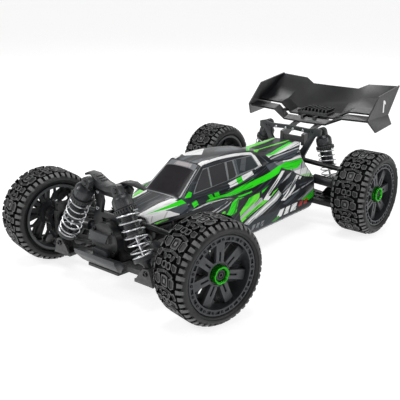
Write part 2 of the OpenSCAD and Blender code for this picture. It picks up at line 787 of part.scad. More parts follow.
barrel_in = 36.6;
barrel_out = 38.6;
hub_r = 13.5;
nut_r = 9.8;
module rim() wheel_frame() {
    rotate_extrude($fn = 96) polygon([
        [barrel_in, -22], [ring_r - 1.5, -22], [ring_r - 1.5, -20],
        [barrel_out, -19], [barrel_out, 19], [ring_r, 19.5], [ring_r, 21.9],
        [barrel_in, 21.9]]);
    // hub, wheel nut and the stub axle with its drive cup
    rotate_extrude() polygon([
        [6.6, -kingpin_offset - 2], [8, -kingpin_offset - 2], [8, -1],
        [hub_r, -1], [hub_r, 15], [nut_r, 15], [nut_r, 21], [0, 21],
        [0, -kingpin_offset + 8], [6.6, -kingpin_offset + 8]]);
    for (i = [0:spokes - 1]) rotate([0, 0, 360 * i / spokes])
        difference() {
            box([hub_r - 1.5, -4.8, 10.5], [37.4, 4.8, 16.5]);
            box([17, -1.6, 8], [26, 1.6, 20]);
        }
}
module tyre() wheel_frame() rotate_extrude($fn = 96) polygon([
    [barrel_out, -19], [barrel_out, 19], [ring_r, 19.4], [ring_r + 0.3, 22],
    [43.5, 24], [46, 25], [48.6, 24.4], [52, 20.5], [53.4, 18],
    [tyre_r, 15.5], [tyre_r, -15.5], [53.4, -18], [52, -20.5],
    [48.6, -24.4], [46, -25], [43.5, -24], [ring_r, -22.4],
    [ring_r - 1.4, -20]]);

module rim_fl() color("#4a4c50") steered(1) rim();
module rim_fr() color("#4a4c50") steered(-1) rim();
module rim_rl() rear_left() color("#4a4c50") rim();
module rim_rr() rear_right() color("#4a4c50") rim();
module tyre_fl() color("#232325") steered(1) tyre();
module tyre_fr() color("#232325") steered(-1) tyre();
module tyre_rl() rear_left() color("#232325") tyre();
module tyre_rr() rear_right() color("#232325") tyre();

// ----------------------------------------------------------------- the parts

chassis_tub();
body_shell();
front_shock_tower();
rear_shock_tower();
front_gearbox();
rear_gearbox();
front_bumper();
tower_guard();
wing();
wing_mount();
motor();
battery();
speed_control();
steering_servo();
hinge_pins();
spur_gear();
pinion();
bellcrank_left();
bellcrank_right();
drag_link();
arm_fl();
arm_fr();
arm_rl();
arm_rr();
caster_block_fl();
caster_block_fr();
knuckle_fl();
knuckle_fr();
hub_carrier_rl();
hub_carrier_rr();
rim_fl();
rim_fr();
rim_rl();
rim_rr();
tyre_fl();
tyre_fr();
tyre_rl();
tyre_rr();
camber_link_fl();
camber_link_fr();
camber_link_rl();
camber_link_rr();
toe_link_fl();
toe_link_fr();
driveshaft_fl();
driveshaft_fr();
driveshaft_rl();
driveshaft_rr();
shock_body_fl();
shock_body_fr();
shock_body_rl();
shock_body_rr();
shock_rod_fl();
shock_rod_fr();
shock_rod_rl();
shock_rod_rr();
spring_fl();
spring_fr();
spring_rl();
spring_rr();
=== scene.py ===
"""Looks of the radio-control buggy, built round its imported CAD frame.

Working lengths are millimetres. In the car's layout +X is the car's left, -Y its front, +Z up, and
y = 0 is the middle of the wheelbase; the CAR matrix turns them into metres of the row frame. Wheel
and shock parts are made about their own axis and placed by the frame's joints.
"""

import json
import math

import bmesh
import bpy
from mathutils import Matrix, Vector


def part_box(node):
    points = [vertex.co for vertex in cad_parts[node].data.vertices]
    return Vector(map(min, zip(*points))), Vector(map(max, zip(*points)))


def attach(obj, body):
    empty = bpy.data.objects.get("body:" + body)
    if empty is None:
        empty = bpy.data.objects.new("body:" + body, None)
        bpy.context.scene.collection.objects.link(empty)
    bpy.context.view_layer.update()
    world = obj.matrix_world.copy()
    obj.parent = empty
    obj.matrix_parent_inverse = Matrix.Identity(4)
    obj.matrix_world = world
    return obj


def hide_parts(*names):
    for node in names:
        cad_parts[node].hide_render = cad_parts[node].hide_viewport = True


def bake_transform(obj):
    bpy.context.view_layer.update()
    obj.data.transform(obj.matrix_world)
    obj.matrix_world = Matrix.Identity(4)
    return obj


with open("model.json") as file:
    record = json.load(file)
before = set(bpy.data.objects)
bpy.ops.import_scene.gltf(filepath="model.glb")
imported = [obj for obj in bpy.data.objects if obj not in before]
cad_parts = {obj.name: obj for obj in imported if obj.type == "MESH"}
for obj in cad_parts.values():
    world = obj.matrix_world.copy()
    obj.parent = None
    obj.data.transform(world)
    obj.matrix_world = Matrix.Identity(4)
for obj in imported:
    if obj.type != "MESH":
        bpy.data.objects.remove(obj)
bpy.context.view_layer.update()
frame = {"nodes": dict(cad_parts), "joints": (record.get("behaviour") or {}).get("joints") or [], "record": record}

MM = 0.001
JOINTS = {j["name"]: j for j in frame["joints"]}
BODY_OF = {n: b for b, nodes in frame["record"]["behaviour"]["bodies"].items() for n in nodes}
CORNERS = ("fl", "fr", "rl", "rr")
FRONT_Y = JOINTS["arm_fl_hinge"]["pos_m"][1] / MM
REAR_Y = JOINTS["arm_rl_hinge"]["pos_m"][1] / MM
MIDDLE_Y = (FRONT_Y + REAR_Y) / 2
HALF_BASE = (REAR_Y - FRONT_Y) / 2
SCALE = Matrix.Scale(MM, 4)
CAR = SCALE @ Matrix.Translation((0, MIDDLE_Y, 0))
TURN_X = Matrix.Rotation(math.pi / 2, 4, "X")
MIRROR = Matrix.Scale(-1, 4, (1, 0, 0))
BOTH = (Matrix.Identity(4), MIRROR)
RANGE_SOCKETS = ("From Min", "From Max", "To Min", "To Max")


# ------------------------------------------------------------------ materials

class Graph:
    """A node tree with short calls for the nodes that the materials use."""

    def __init__(self, name):
        self.material = bpy.data.materials.new(name)
        self.material.use_nodes = True
        self.tree = self.material.node_tree
        self.shader = self.tree.nodes["Principled BSDF"]

    def node(self, kind, **settings):
        made = self.tree.nodes.new(kind)
        for key, value in settings.items():
            setattr(made, key, value)
        return made

    def link(self, source, target):
        self.tree.links.new(source, target)

    def feed(self, socket, value):
        if isinstance(value, bpy.types.NodeSocket):
            self.link(value, socket)
        else:
            socket.default_value = value

    def math(self, operation, a, b=0.0):
        made = self.node("ShaderNodeMath", operation=operation)
        self.feed(made.inputs[0], a)
        self.feed(made.inputs[1], b)
        return made.outputs[0]

    def place(self):
        return self.node("ShaderNodeTexCoord").outputs["Object"]

    def noise(self, size_mm, detail=3.0, rough=0.5, stretch=None):
        """Noise with features of about size_mm, or drawn out by a stretch for each axis."""
        made = self.node("ShaderNodeTexNoise")
        made.inputs["Scale"].default_value = 1 / (size_mm * MM)
        made.inputs["Detail"].default_value = detail
        made.inputs["Roughness"].default_value = rough
        source = self.place()
        if stretch:
            scaled = self.node("ShaderNodeVectorMath", operation="MULTIPLY")
            self.link(source, scaled.inputs[0])
            scaled.inputs[1].default_value = stretch
            source = scaled.outputs[0]
        self.link(source, made.inputs["Vector"])
        return made.outputs["Fac"]

    def span(self, value, low, high, out_low, out_high):
        made = self.node("ShaderNodeMapRange")
        self.feed(made.inputs["Value"], value)
        for key, number in zip(RANGE_SOCKETS, (low, high, out_low, out_high)):
            made.inputs[key].default_value = number
        return made.outputs["Result"]

    def mix(self, factor, a, b):
        made = self.node("ShaderNodeMix", data_type="RGBA")
        self.feed(made.inputs[0], factor)
        self.feed(made.inputs[6], a)
        self.feed(made.inputs[7], b)
        return made.outputs[2]

    def bump(self, height, strength, distance_mm, normal=None):
        made = self.node("ShaderNodeBump")
        made.inputs["Strength"].default_value = strength
        made.inputs["Distance"].default_value = distance_mm * MM
        self.feed(made.inputs["Height"], height)
        if normal:
            self.link(normal, made.inputs["Normal"])
        return made.outputs["Normal"]

    def dot(self, where, axis):
        made = self.node("ShaderNodeVectorMath", operation="DOT_PRODUCT")
        self.link(where, made.inputs[0])
        made.inputs[1].default_value = axis
        return made.outputs["Value"]

    def join(self, x, y, z=0.0):
        made = self.node("ShaderNodeCombineXYZ")
        for socket, value in zip(made.inputs, (x, y, z)):
            self.feed(socket, value)
        return made.outputs[0]


def rgb(colour, gain=1.0):
    return tuple(min(1.0, c * gain) for c in colour) + (1.0,)


def surface(name, colour, rough, metal=0.0, grain_mm=0.5, grain=0.25, tint=0.15, worn=0.0, coat=0.0,
            brushed=None, spread=0.08, shine=0.5):
    """Moulded, cast or turned material: mottled colour, uneven gloss, fine grain and rubbed edges."""
    g = Graph(name)
    g.shader.inputs["Metallic"].default_value = metal
    g.shader.inputs["Specular IOR Level"].default_value = shine
    g.shader.inputs["Coat Weight"].default_value = coat
    g.shader.inputs["Coat Roughness"].default_value = 0.12
    patches = g.noise(9.0, 4.0, 0.6)
    fade = g.span(patches, 0.3, 0.7, 0.0, 1.0)
    tone = g.mix(fade, rgb(colour, 1 - tint), rgb(colour, 1 + tint))
    if worn:
        edge = g.node("ShaderNodeNewGeometry").outputs["Pointiness"]
        rub = g.math("MULTIPLY", g.span(edge, 0.52, 0.6, 0.0, worn), g.noise(2.5, 3.0, 0.7))
        tone = g.mix(rub, tone, rgb([0.25 + 0.75 * c for c in colour]))
    g.link(tone, g.shader.inputs["Base Color"])
    smear = g.noise(4.0, 5.0, 0.65)
    g.link(g.span(smear, 0.25, 0.75, rough - spread, rough + spread), g.shader.inputs["Roughness"])
    fine = g.noise(grain_mm, 2.0, 0.5, brushed)
    g.link(g.bump(fine, grain, 0.08), g.shader.inputs["Normal"])
    return g.material


def inside(g, where, corners):
    """1 inside a convex outline on the plane that `where` carries as (a, b, 1), else 0."""
    area = sum(p[0] * q[1] - q[0] * p[1] for p, q in zip(corners, corners[1:] + corners[:1]))
    if area < 0:
        corners = corners[::-1]
    depth = None
    for p, q in zip(corners, corners[1:] + corners[:1]):
        nx, ny = p[1] - q[1], q[0] - p[0]
        side = g.dot(where, (nx, ny, -nx * p[0] - ny * p[1]))
        depth = side if depth is None else g.math("MINIMUM", depth, side)
    return g.math("GREATER_THAN", depth, 0.0)


def streaks(g, where, lean, gap, length, low, high):
    """Mask of long brush strokes that lean at an angle (degrees) on the plane that `where` carries."""
    turn = math.radians(lean)
    along, across = math.cos(turn), math.sin(turn)
    drawn_out = g.join(g.dot(where, (along / length, across / length, 0)),
                       g.dot(where, (-across / gap, along / gap, 0)))
    made = g.node("ShaderNodeTexNoise")
    made.inputs["Scale"].default_value = 1.0
    made.inputs["Detail"].default_value = 2.0
    g.link(drawn_out, made.inputs["Vector"])
    return g.span(made.outputs["Fac"], low, high, 0.0, 1.0)


def painted(name, plane, base, shapes, lean, strokes):
    """Glossy livery: flat shapes, in millimetres on the named plane, painted over a base colour."""
    g = Graph(name)
    parts = g.node("ShaderNodeSeparateXYZ")
    g.link(g.place(), parts.inputs[0])
    along = g.math("SUBTRACT", g.math("MULTIPLY", parts.outputs["Y"], 1 / MM), MIDDLE_Y)
    across = g.math("MULTIPLY", parts.outputs["Z" if plane == "side" else "X"], 1 / MM)
    if plane == "plan_both":
        across = g.math("ABSOLUTE", across)
    where = g.join(along, across, 1.0)
    tone = g.mix(streaks(g, where, lean, 2.6, 60, 0.56, 0.6), rgb(base), rgb(SLATE, 1.6))
    for colour, corners in shapes:
        tone = g.mix(inside(g, where, corners), tone, rgb(colour))
    shade = g.math("MULTIPLY", streaks(g, where, lean, 1.7, 45, 0.57, 0.62), strokes)
    tone = g.mix(shade, tone, rgb(INK))
    dust = g.span(g.noise(14.0, 5.0, 0.65), 0.3, 0.75, 0.0, 0.012)
    g.link(g.mix(dust, tone, rgb((0.5, 0.5, 0.5))), g.shader.inputs["Base Color"])
    g.link(g.span(g.noise(6.0, 5.0, 0.7), 0.3, 0.7, 0.28, 0.38), g.shader.inputs["Roughness"])
    g.link(g.bump(g.noise(9.0, 1.0, 0.4), 0.05, 0.25), g.shader.inputs["Normal"])
    g.shader.inputs["Specular IOR Level"].default_value = 0.15
    g.shader.inputs["Coat Weight"].default_value = 0.1
    g.shader.inputs["Coat Roughness"].default_value = 0.05
    return g.material


BLACK = (0.005, 0.0055, 0.007)
INK = (0.010, 0.011, 0.014)
SLATE = (0.018, 0.024, 0.03)
STEEL = (0.055, 0.068, 0.08)
GREY = (0.17, 0.18, 0.19)
SILVER = (0.40, 0.41, 0.42)
WHITE = (0.74, 0.74, 0.74)
GREEN = (0.018, 0.64, 0.003)
DEEP_GREEN = (0.012, 0.22, 0.004)
PALE_GREEN = (0.12, 0.66, 0.035)
MIST_GREEN = (0.40, 0.66, 0.34)
RED = (0.5, 0.03, 0.02)


# ---------------------------------------------------------------- mesh making

def turned(profile, steps=48, ripple=None):
    """Faces of a profile [(r, z), ...] turned about Z; ripple(angle) scales each radius."""
    verts, faces = [], []
    for k in range(steps):
        a = math.tau * k / steps
        gain = ripple(a) if ripple else 1.0
        verts += [(r * gain * math.cos(a), r * gain * math.sin(a), z) for r, z in profile]
    n = len(profile)
    for k in range(steps):
        here, there = k * n, (k + 1) % steps * n
        faces += [(here + i, there + i, there + i + 1, here + i + 1) for i in range(n - 1)]
    return verts, faces


def extruded(outline, low, high):
    """Prism over an outline [(x, y), ...] from z = low to high."""
    n = len(outline)
    verts = [(x, y, low) for x, y in outline] + [(x, y, high) for x, y in outline]
    faces = [tuple(range(n - 1, -1, -1)), tuple(range(n, 2 * n))]
    faces += [(i, (i + 1) % n, n + (i + 1) % n, n + i) for i in range(n)]
    return verts, faces


def block(low, high):
    """Box between two corners."""
    (x0, y0, z0), (x1, y1, z1) = low, high
    return extruded([(x0, y0), (x1, y0), (x1, y1), (x0, y1)], z0, z1)


def tube(points, radius, sides=10, closed_ends=True):
    """Round wire along a list of points."""
    points = [Vector(p) for p in points]
    verts, faces = [], []
    side = None
    for i, p in enumerate(points):
        ahead = points[min(i + 1, len(points) - 1)] - points[max(i - 1, 0)]
        ahead.normalize()
        if side is None:
            side = ahead.orthogonal().normalized()
        side = (side - ahead * side.dot(ahead)).normalized()
        up = ahead.cross(side)
        for k in range(sides):
            a = math.tau * k / sides
            verts.append(p + (side * math.cos(a) + up * math.sin(a)) * radius)
    for i in range(len(points) - 1):
        for k in range(sides):
            a, b = i * sides + k, i * sides + (k + 1) % sides
            faces.append((a, b, b + sides, a + sides))
    if closed_ends:
        faces.append(tuple(range(sides - 1, -1, -1)))
        faces.append(tuple(range(len(verts) - sides, len(verts))))
    return verts, faces


def round_outline(centre, radius, start, end, steps):
    """Points of an arc, angles in degrees."""
    return [(centre[0] + radius * math.cos(math.radians(start + (end - start) * i / steps)),
             centre[1] + radius * math.sin(math.radians(start + (end - start) * i / steps)))
            for i in range(steps + 1)]


class Shape:
    """One visible piece, put together from parts in millimetres."""

    def __init__(self):
        self.bm = bmesh.new()

    def add(self, part, at=Matrix.Identity(4), slot=0, edge=0.0, sharp=35, segments=2):
        """Adds (verts, faces), with sharp edges rounded to `edge` millimetres."""
        made = bmesh.new()
        verts = [made.verts.new(v) for v in part[0]]
        for face in part[1]:
            made.faces.new([verts[i] for i in face])
        bmesh.ops.remove_doubles(made, verts=made.verts, dist=1e-4)
        bmesh.ops.recalc_face_normals(made, faces=made.faces)
        self.take(made, at, slot, edge, sharp, segments)

    def take(self, made, at, slot, edge, sharp=35, segments=2):
        if edge:
            limit = math.radians(sharp)
            edges = [e for e in made.edges if e.is_manifold and e.calc_face_angle(0.0) > limit]
            bmesh.ops.bevel(made, geom=edges, offset=edge, segments=segments, profile=0.6,
                            affect="EDGES", clamp_overlap=True)
        made.transform(at)
        if at.determinant() < 0:
            bmesh.ops.reverse_faces(made, faces=made.faces)
        for f in made.faces:
            f.material_index = slot
        loose = bpy.data.meshes.new("part")
        made.to_mesh(loose)
        made.free()
        self.bm.from_mesh(loose)
        bpy.data.meshes.remove(loose)

    def add_both(self, part, **how):
        at = how.pop("at", Matrix.Identity(4))
        for side in BOTH:
            self.add(part, at=side @ at, **how)

    def carry(self, node, edge=0.4, slot=0):
        """Adds a CAD node's own form, back in millimetres of the car's layout, with its edges rounded."""
        made = bmesh.new()
        made.from_mesh(frame["nodes"][node].data)
        made.transform(CAR.inverted())
        bmesh.ops.remove_doubles(made, verts=made.verts, dist=0.002)
        bmesh.ops.dissolve_limit(made, angle_limit=math.radians(1.0), verts=made.verts, edges=made.edges)
        self.take(made, Matrix.Identity(4), slot, edge, sharp=40)

    def mesh(self, name, materials, to_metres, smooth=34):
        self.bm.transform(to_metres)
        for e in self.bm.edges:
            e.smooth = e.is_manifold and e.calc_face_angle(0.0) < math.radians(smooth)
        for f in self.bm.faces:
            f.smooth = True
        made = bpy.data.meshes.new(name)
        self.bm.to_mesh(made)
        self.bm.free()
        for m in materials:
            made.materials.append(m)
        return made


def placed(name, data, at=Matrix.Identity(4)):
    """New object in the scene, standing at a matrix."""
    obj = bpy.data.objects.new(name, data)
    bpy.context.scene.collection.objects.link(obj)
    obj.matrix_world = at
    return obj


def piece(name, mesh, node, at=Matrix.Identity(4), replaces=True):
    """Puts a mesh in the scene, riding on the body of a CAD node."""
    obj = placed(name, mesh, at)
    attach(obj, BODY_OF[node])
    if replaces:
        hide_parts(node)
    return obj


def screw(head_r=2.4, tall=1.6):
    """Button-head socket screw standing on z = 0."""
    key = head_r * 0.48
    return turned([(0, tall * 0.35), (key, tall * 0.35), (key * 1.1, tall * 0.97), (head_r * 0.75, tall),
                   (head_r * 0.97, tall * 0.6), (head_r, 0), (0, 0)], 18)


def facing(x, y, z, direction):
    """Matrix that stands local +Z along a direction at a point."""
    axis = Vector(direction).normalized()
    return Matrix.Translation((x, y, z)) @ axis.to_track_quat("Z", "Y").to_matrix().to_4x4()


# --------------------------------------------------------------- the finishes

# lighter copy of the rubber for the lug tops: partly wear, partly a painted highlight
tread_rubber_worn_and_highlight = surface("tread_rubber_worn_and_highlight", (0.0105, 0.011, 0.0122), 0.5, grain_mm=0.35, grain=0.35, tint=0.4,
                       worn=0.8, shine=0.4)
# darker, less shiny copy of the same rubber for the grooves: painted shade down between the lugs
groove_rubber_painted_shade = surface("groove_rubber_painted_shade", (0.003, 0.0031, 0.0035), 0.7, grain=0.3, tint=0.3, shine=0.15)
wall_rubber = surface("wall_rubber", (0.006, 0.0063, 0.0072), 0.5, grain_mm=0.35, grain=0.3, tint=0.3,
                      worn=0.3, shine=0.35)
rim_grey = surface("rim_plastic", (0.036, 0.038, 0.042), 0.4, grain_mm=0.4, grain=0.2, worn=0.3, shine=0.35)
nylon = surface("black_nylon", (0.0055, 0.006, 0.007), 0.4, grain_mm=0.35, grain=0.3, tint=0.25, worn=0.5,
                shine=0.35)
satin = surface("dark_grey_nylon", (0.0105, 0.0115, 0.0135), 0.34, grain_mm=0.4, worn=0.4, shine=0.4)
graphite = surface("graphite_nylon", (0.021, 0.023, 0.027), 0.36, grain=0.3, worn=0.3, shine=0.4)
wing_black = surface("wing_nylon", (0.0045, 0.0048, 0.0058), 0.34, grain_mm=0.6, grain=0.15, tint=0.2,
                     worn=0.4, shine=0.35)
green_metal = surface("green_anodised", (0.018, 0.36, 0.009), 0.27, metal=0.85, grain_mm=0.2, grain=0.1)
silver = surface("bright_steel", (0.50, 0.51, 0.53), 0.25, metal=1.0, grain_mm=0.2, grain=0.1, spread=0.06)
spring_wire = surface("spring_steel", (0.62, 0.63, 0.65), 0.3, metal=0.8, grain_mm=0.25, grain=0.12)
dark_steel = surface("dark_steel", (0.06, 0.06, 0.065), 0.3, metal=1.0, grain_mm=0.2, grain=0.15)
chrome = surface("chromed_shaft", (0.7, 0.71, 0.73), 0.12, metal=1.0, grain_mm=0.2, grain=0.04, spread=0.03)
shock_black = surface("shock_body_plastic", (0.011, 0.012, 0.0145), 0.3, grain_mm=0.4, grain=0.15, worn=0.4,
                      shine=0.4)
alloy = surface("cast_alloy", (0.35, 0.36, 0.38), 0.38, metal=1.0, grain_mm=0.3, grain=0.3,
                brushed=(1, 0.08, 1))
cell_wrap = surface("battery_wrap", (0.006, 0.007, 0.012), 0.34, grain_mm=2.0, grain=0.12, coat=0.3)
gear_nylon = surface("gear_nylon", (0.05, 0.05, 0.052), 0.45, grain_mm=0.4)
mark_white = surface("printed_white", (0.8, 0.8, 0.8), 0.4, grain_mm=0.3, grain=0.1, tint=0.04)


# ---------------------------------------------------------------------- tyres

TYRE_R = (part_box("tyre_rl")[1].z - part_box("tyre_rl")[0].z) / 2 / MM
TYRE_HALF = (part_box("tyre_rl")[1].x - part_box("tyre_rl")[0].x) / 2 / MM
CROWN = [(0, 0), (15.5, 0), (18, 0.6), (20.5, 2), (24.4, 5.4), (TYRE_HALF, 8)]
TREAD = 4.0
REPEATS = 9
TREAD_TOP, GROOVE, SIDE_WALL = range(3)


def crown(z):
    """Radius of the tread's top at a distance z from the tyre's middle."""
    z = abs(z)
    for (z0, d0), (z1, d1) in zip(CROWN, CROWN[1:]):
        if z <= z1:
            return TYRE_R - d0 - (d1 - d0) * (z - z0) / (z1 - z0)
    return TYRE_R - CROWN[-1][1]


def lug(outline, start, recess=0.0, rim=0.32, height=0.0):
    """Tread block over an outline [(along, z), ...] in millimetres, with a hollow top if recess is set."""
    n = len(outline)
    cs, cz = sum(p[0] for p in outline) / n, sum(p[1] for p in outline) / n
    rings = [(1.08, -TREAD - 0.6), (1.0, -0.45 - height), (0.92, -height)]
    if recess:
        rings += [(1 - rim, -height), (0.94 - rim, -recess - height)]
    verts, faces = [], []
    for gain, lift in rings:
        for s, z in outline:
            along, across = cs + (s - cs) * gain, cz + (z - cz) * gain
            across = max(-TYRE_HALF, min(TYRE_HALF, across))
            r, a = min(TYRE_R, crown(across) + lift), (start + along) / TYRE_R
            verts.append((r * math.cos(a), r * math.sin(a), across))
    for k in range(len(rings) - 1):
        for i in range(n):
            j = (i + 1) % n
            faces.append((k * n + i, k * n + j, (k + 1) * n + j, (k + 1) * n + i))
    faces.append(tuple(range((len(rings) - 1) * n, len(rings) * n)))
    return verts, faces


def bar(s0, z0, s1, z1, wide):
    """Outline of a straight bar with cut corners between two points of the tread."""
    along = Vector((s1 - s0, z1 - z0)).normalized()
    side = Vector((-along.y, along.x)) * wide / 2
    nib = along * wide * 0.3
    a, b = Vector((s0, z0)), Vector((s1, z1))
    return [tuple(p) for p in (a + side * 0.5 - nib, a + side, b + side, b + side * 0.5 + nib,
                               b - side * 0.5 + nib, b - side, a - side, a - side * 0.5 - nib)]


def tyre_mesh():
    """Foam-filled tyre: bead, side wall with a raised ring, and nine repeats of the tread."""
    tyre = Shape()
    wall = [(38.8, 19.2), (41.3, 19.6), (41.7, 21.9), (43.0, 23.3), (44.2, 23.6), (44.6, 24.3),
            (45.4, 24.5),
            (46.6, 24.3), (48.0, 23.2), (49.2, 21.0), (49.8, 17.5), (TYRE_R - TREAD, 12)]
    profile = wall + [(r, -z) for r, z in wall[::-1]]
    tyre.add(turned(profile, 144))
    pitch = math.tau * TYRE_R / REPEATS
    for n in range(REPEATS):
        start = n * pitch
        for side in (-1, 1):
            m = 1 if side > 0 else -1
            # twin hollow blocks, then a cross bar, a stepped block, a bar and a small round stud
            tyre.add(lug([(1.5, m * 0.4), (7.5, m * 0.4), (8.6, m * 3.2), (7.2, m * 6.6), (2.2, m * 6.6),
                          (0.6, m * 3.2)], start, 1.6, 0.42))
            tyre.add(lug(bar(10.6, m * 1.2, 13.4, m * 11.2, 3.0), start, 0.5, 0.3))
            tyre.add(lug([(0.8, m * 8.4), (6.2, m * 8.4), (8.6, m * 11.5), (7.4, m * 15.6),
                          (1.8, m * 15.2)],
                         start, 0.6, 0.3))
            tyre.add(lug([(15.8, m * 7.2), (24.2, m * 6.4), (26.4, m * 9.8), (23.8, m * 14.6),
                          (16.8, m * 15.0),
                          (14.6, m * 11.4)], start, 0.7, 0.26))
            tyre.add(lug(bar(28.2, m * 1.2, 30.4, m * 10.4, 3.0), start, 0.5, 0.3))
            tyre.add(lug(bar(30.2, m * 13.4, 35.2, m * 15.0, 4.0), start, 0.5, 0.3))
            tyre.add(lug(bar(32.6, m * 6.8, 36.4, m * 4.4, 3.4), start, 0.4, 0.3))
            for k in range(5):
                at = start + pitch * (k + 0.5) / 5
                inner = 17.0 if k % 2 else 18.4
                outer = 23.6 if k % 2 else 22.6
                tyre.add(lug([(-2.4, m * inner), (2.4, m * inner), (2.3, m * 21.0), (1.9, m * outer),
                              (-1.9, m * outer), (-2.3, m * 21.0)], at, height=0.1))
        tyre.add(lug([(15.2, -4.6), (19.0, -5.2), (25.8, -4.6), (26.6, 0), (25.8, 4.6), (19.0, 5.2),
                      (15.2, 4.6),
                      (14.4, 0)], start, 1.0, 0.3))
        tyre.add(lug([(18.6, -1.6), (22.6, -1.6), (22.6, 1.6), (18.6, 1.6)], start, 0.0, height=0.05))
        tyre.add(lug(bar(33.4, -1.6, 33.4, 1.6, 3.6), start, 0.5, 0.34))
    # faces sorted by height: lug tops get the lighter rubber (partly wear, partly painted highlight), the floors
    # and sides of the grooves the darker rubber as painted shade, the rest the side wall rubber
    for f in tyre.bm.faces:
        middle = f.calc_center_median()
        reach = math.hypot(middle.x, middle.y)
        if crown(middle.z) - reach < 1.2:
            f.material_index = TREAD_TOP
        elif abs(middle.z) < 21.5 and reach > 49.0:
            f.material_index = GROOVE
        else:
            f.material_index = SIDE_WALL
    return tyre.mesh("tyre", [tread_rubber_worn_and_highlight, groove_rubber_painted_shade, wall_rubber], SCALE)


# ----------------------------------------------------------------------- rims

RING_R = (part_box("rim_rl")[1].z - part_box("rim_rl")[0].z) / 2 / MM
SPOKES = 7
BOLTS = 20
RING_Z = 21.9
REST_TURN = {"fl": 36, "fr": 40, "rl": 3, "rr": 25}


def ring_plate():
    """Clamping ring: a flat ring with a pocket between each pair of bolts."""
    radii = (34.6, 36.1, 39.3, RING_R - 0.3)
    steps = (0.0, 0.28, 0.5, 0.72)
    angles = [math.tau * (k + s) / BOLTS for k in range(BOLTS) for s in steps]
    made = bmesh.new()
    grid = [[made.verts.new((r * math.cos(a), r * math.sin(a), RING_Z)) for r in radii] for a in angles]
    pockets = []
    for i in range(len(angles)):
        for j in range(3):
            there = grid[(i + 1) % len(angles)]
            f = made.faces.new((grid[i][j], grid[i][j + 1], there[j + 1], there[j]))
            if j == 1 and i % 4 in (1, 2):
                pockets.append(f)
    sunk = bmesh.ops.extrude_face_region(made, geom=pockets)
    bmesh.ops.translate(made, vec=(0, 0, -1.9),
                        verts=[v for v in sunk["geom"] if isinstance(v, bmesh.types.BMVert)])
    bmesh.ops.delete(made, geom=pockets, context="FACES_ONLY")
    return made


def rim_mesh():
    """Seven-spoke rim with its bolted ring and hub."""
    rim = Shape()
    rim.take(ring_plate(), Matrix.Identity(4), 0, 0.0)
    rim.add(turned([(RING_R - 0.3, RING_Z), (RING_R, RING_Z - 0.4), (RING_R, 19.5), (38.6, 19.0),
                    (38.6, -19.0),
                    (RING_R - 1.5, -20.0), (RING_R - 1.5, -22.0), (37.0, -22.0), (35.8, -20.0), (35.6, 6.0),
                    (35.8, 14.0), (35.8, 19.4), (34.6, 20.2), (34.6, RING_Z)], 120))
    bolt = turned([(0, 0.3), (0.7, 0.3), (0.8, 1.0), (1.3, 0.95), (1.5, 0.45), (1.55, 0)], 14)
    for k in range(BOLTS):
        a = math.tau * k / BOLTS
        rim.add(bolt, at=Matrix.Translation((37.8 * math.cos(a), 37.8 * math.sin(a), RING_Z)), slot=1)
    hub = [(9.9, 14.2), (11.2, 14.2), (11.4, 15.6), (13.2, 15.4), (13.8, 12.0), (13.8, 3.0), (12.0, -1.0),
           (8.0, -1.0), (8.0, -17.8), (6.7, -18.0), (6.7, -9.0)]
    rim.add(turned(hub, 28), edge=0.0)
    for k in range(SPOKES):
        turn = Matrix.Rotation(math.tau * k / SPOKES, 4, "Z")
        fork = [(12.6, -4.6), (33.4, -5.3), (33.8, 0), (33.4, 5.3), (12.6, 4.6), (12.6, 1.0), (22.6, 1.0),
                (23.2, 0), (22.6, -1.0), (12.6, -1.0)]
        rim.add(extruded(fork, 12.8, 16.5), at=turn, edge=0.35)
        # the spoke's foot runs down into the barrel, with a keel along its middle
        foot = [(30.5, 15.6), (33.4, 15.2), (35.4, 10.5), (35.4, 3.0), (33.0, 2.0), (13.0, 5.0),
                (13.0, 12.0)]
        rim.add(extruded(foot, -2.2, 2.2), at=turn @ TURN_X, edge=0.3)
        rim.add(extruded([(32.6, 15.9), (34.0, 14.6), (35.5, 9.0), (35.5, 4.0), (33.0, 4.0), (31.0, 12.9)],
                         -5.0, 5.0), at=turn @ TURN_X, edge=0.3)
        # low webs that fork from the hub to the barrel between the spokes
        web = turn @ Matrix.Rotation(math.pi / SPOKES, 4, "Z")
        for lean in (-1, 1):
            rim.add(extruded([(13.2, 0), (13.2, lean * 3.0), (24.0, lean * 2.6), (35.6, lean * 9.0),
                              (35.6, lean * 6.2), (25.0, 0)], 4.0, 7.5), at=web, edge=0.3)
    return rim.mesh("rim", [rim_grey, dark_steel], SCALE)


def nut_mesh():
    """Scalloped green wheel nut with the black axle end and its screw in the middle."""
    nut = Shape()

    def scallops(a):
        return 1.0 - 0.07 * max(0.0, math.cos(6 * a)) ** 3

    nut.add(turned([(6.2, 15.0), (6.2, 18.6), (6.8, 20.2), (7.8, 20.9), (9.0, 20.7), (9.6, 19.6),
                    (9.75, 17.6),
                    (9.4, 16.9), (9.75, 16.2), (9.8, 14.0)], 96, scallops))
    nut.add(turned([(0, 17.6), (1.3, 17.6), (1.5, 18.9), (2.6, 19.0), (3.0, 18.2), (3.6, 18.2), (4.0, 18.8),
                    (5.2, 18.6), (6.25, 17.4), (6.25, 15.5)], 48), slot=1)
    return nut.mesh("wheel_nut", [green_metal, nylon], SCALE)


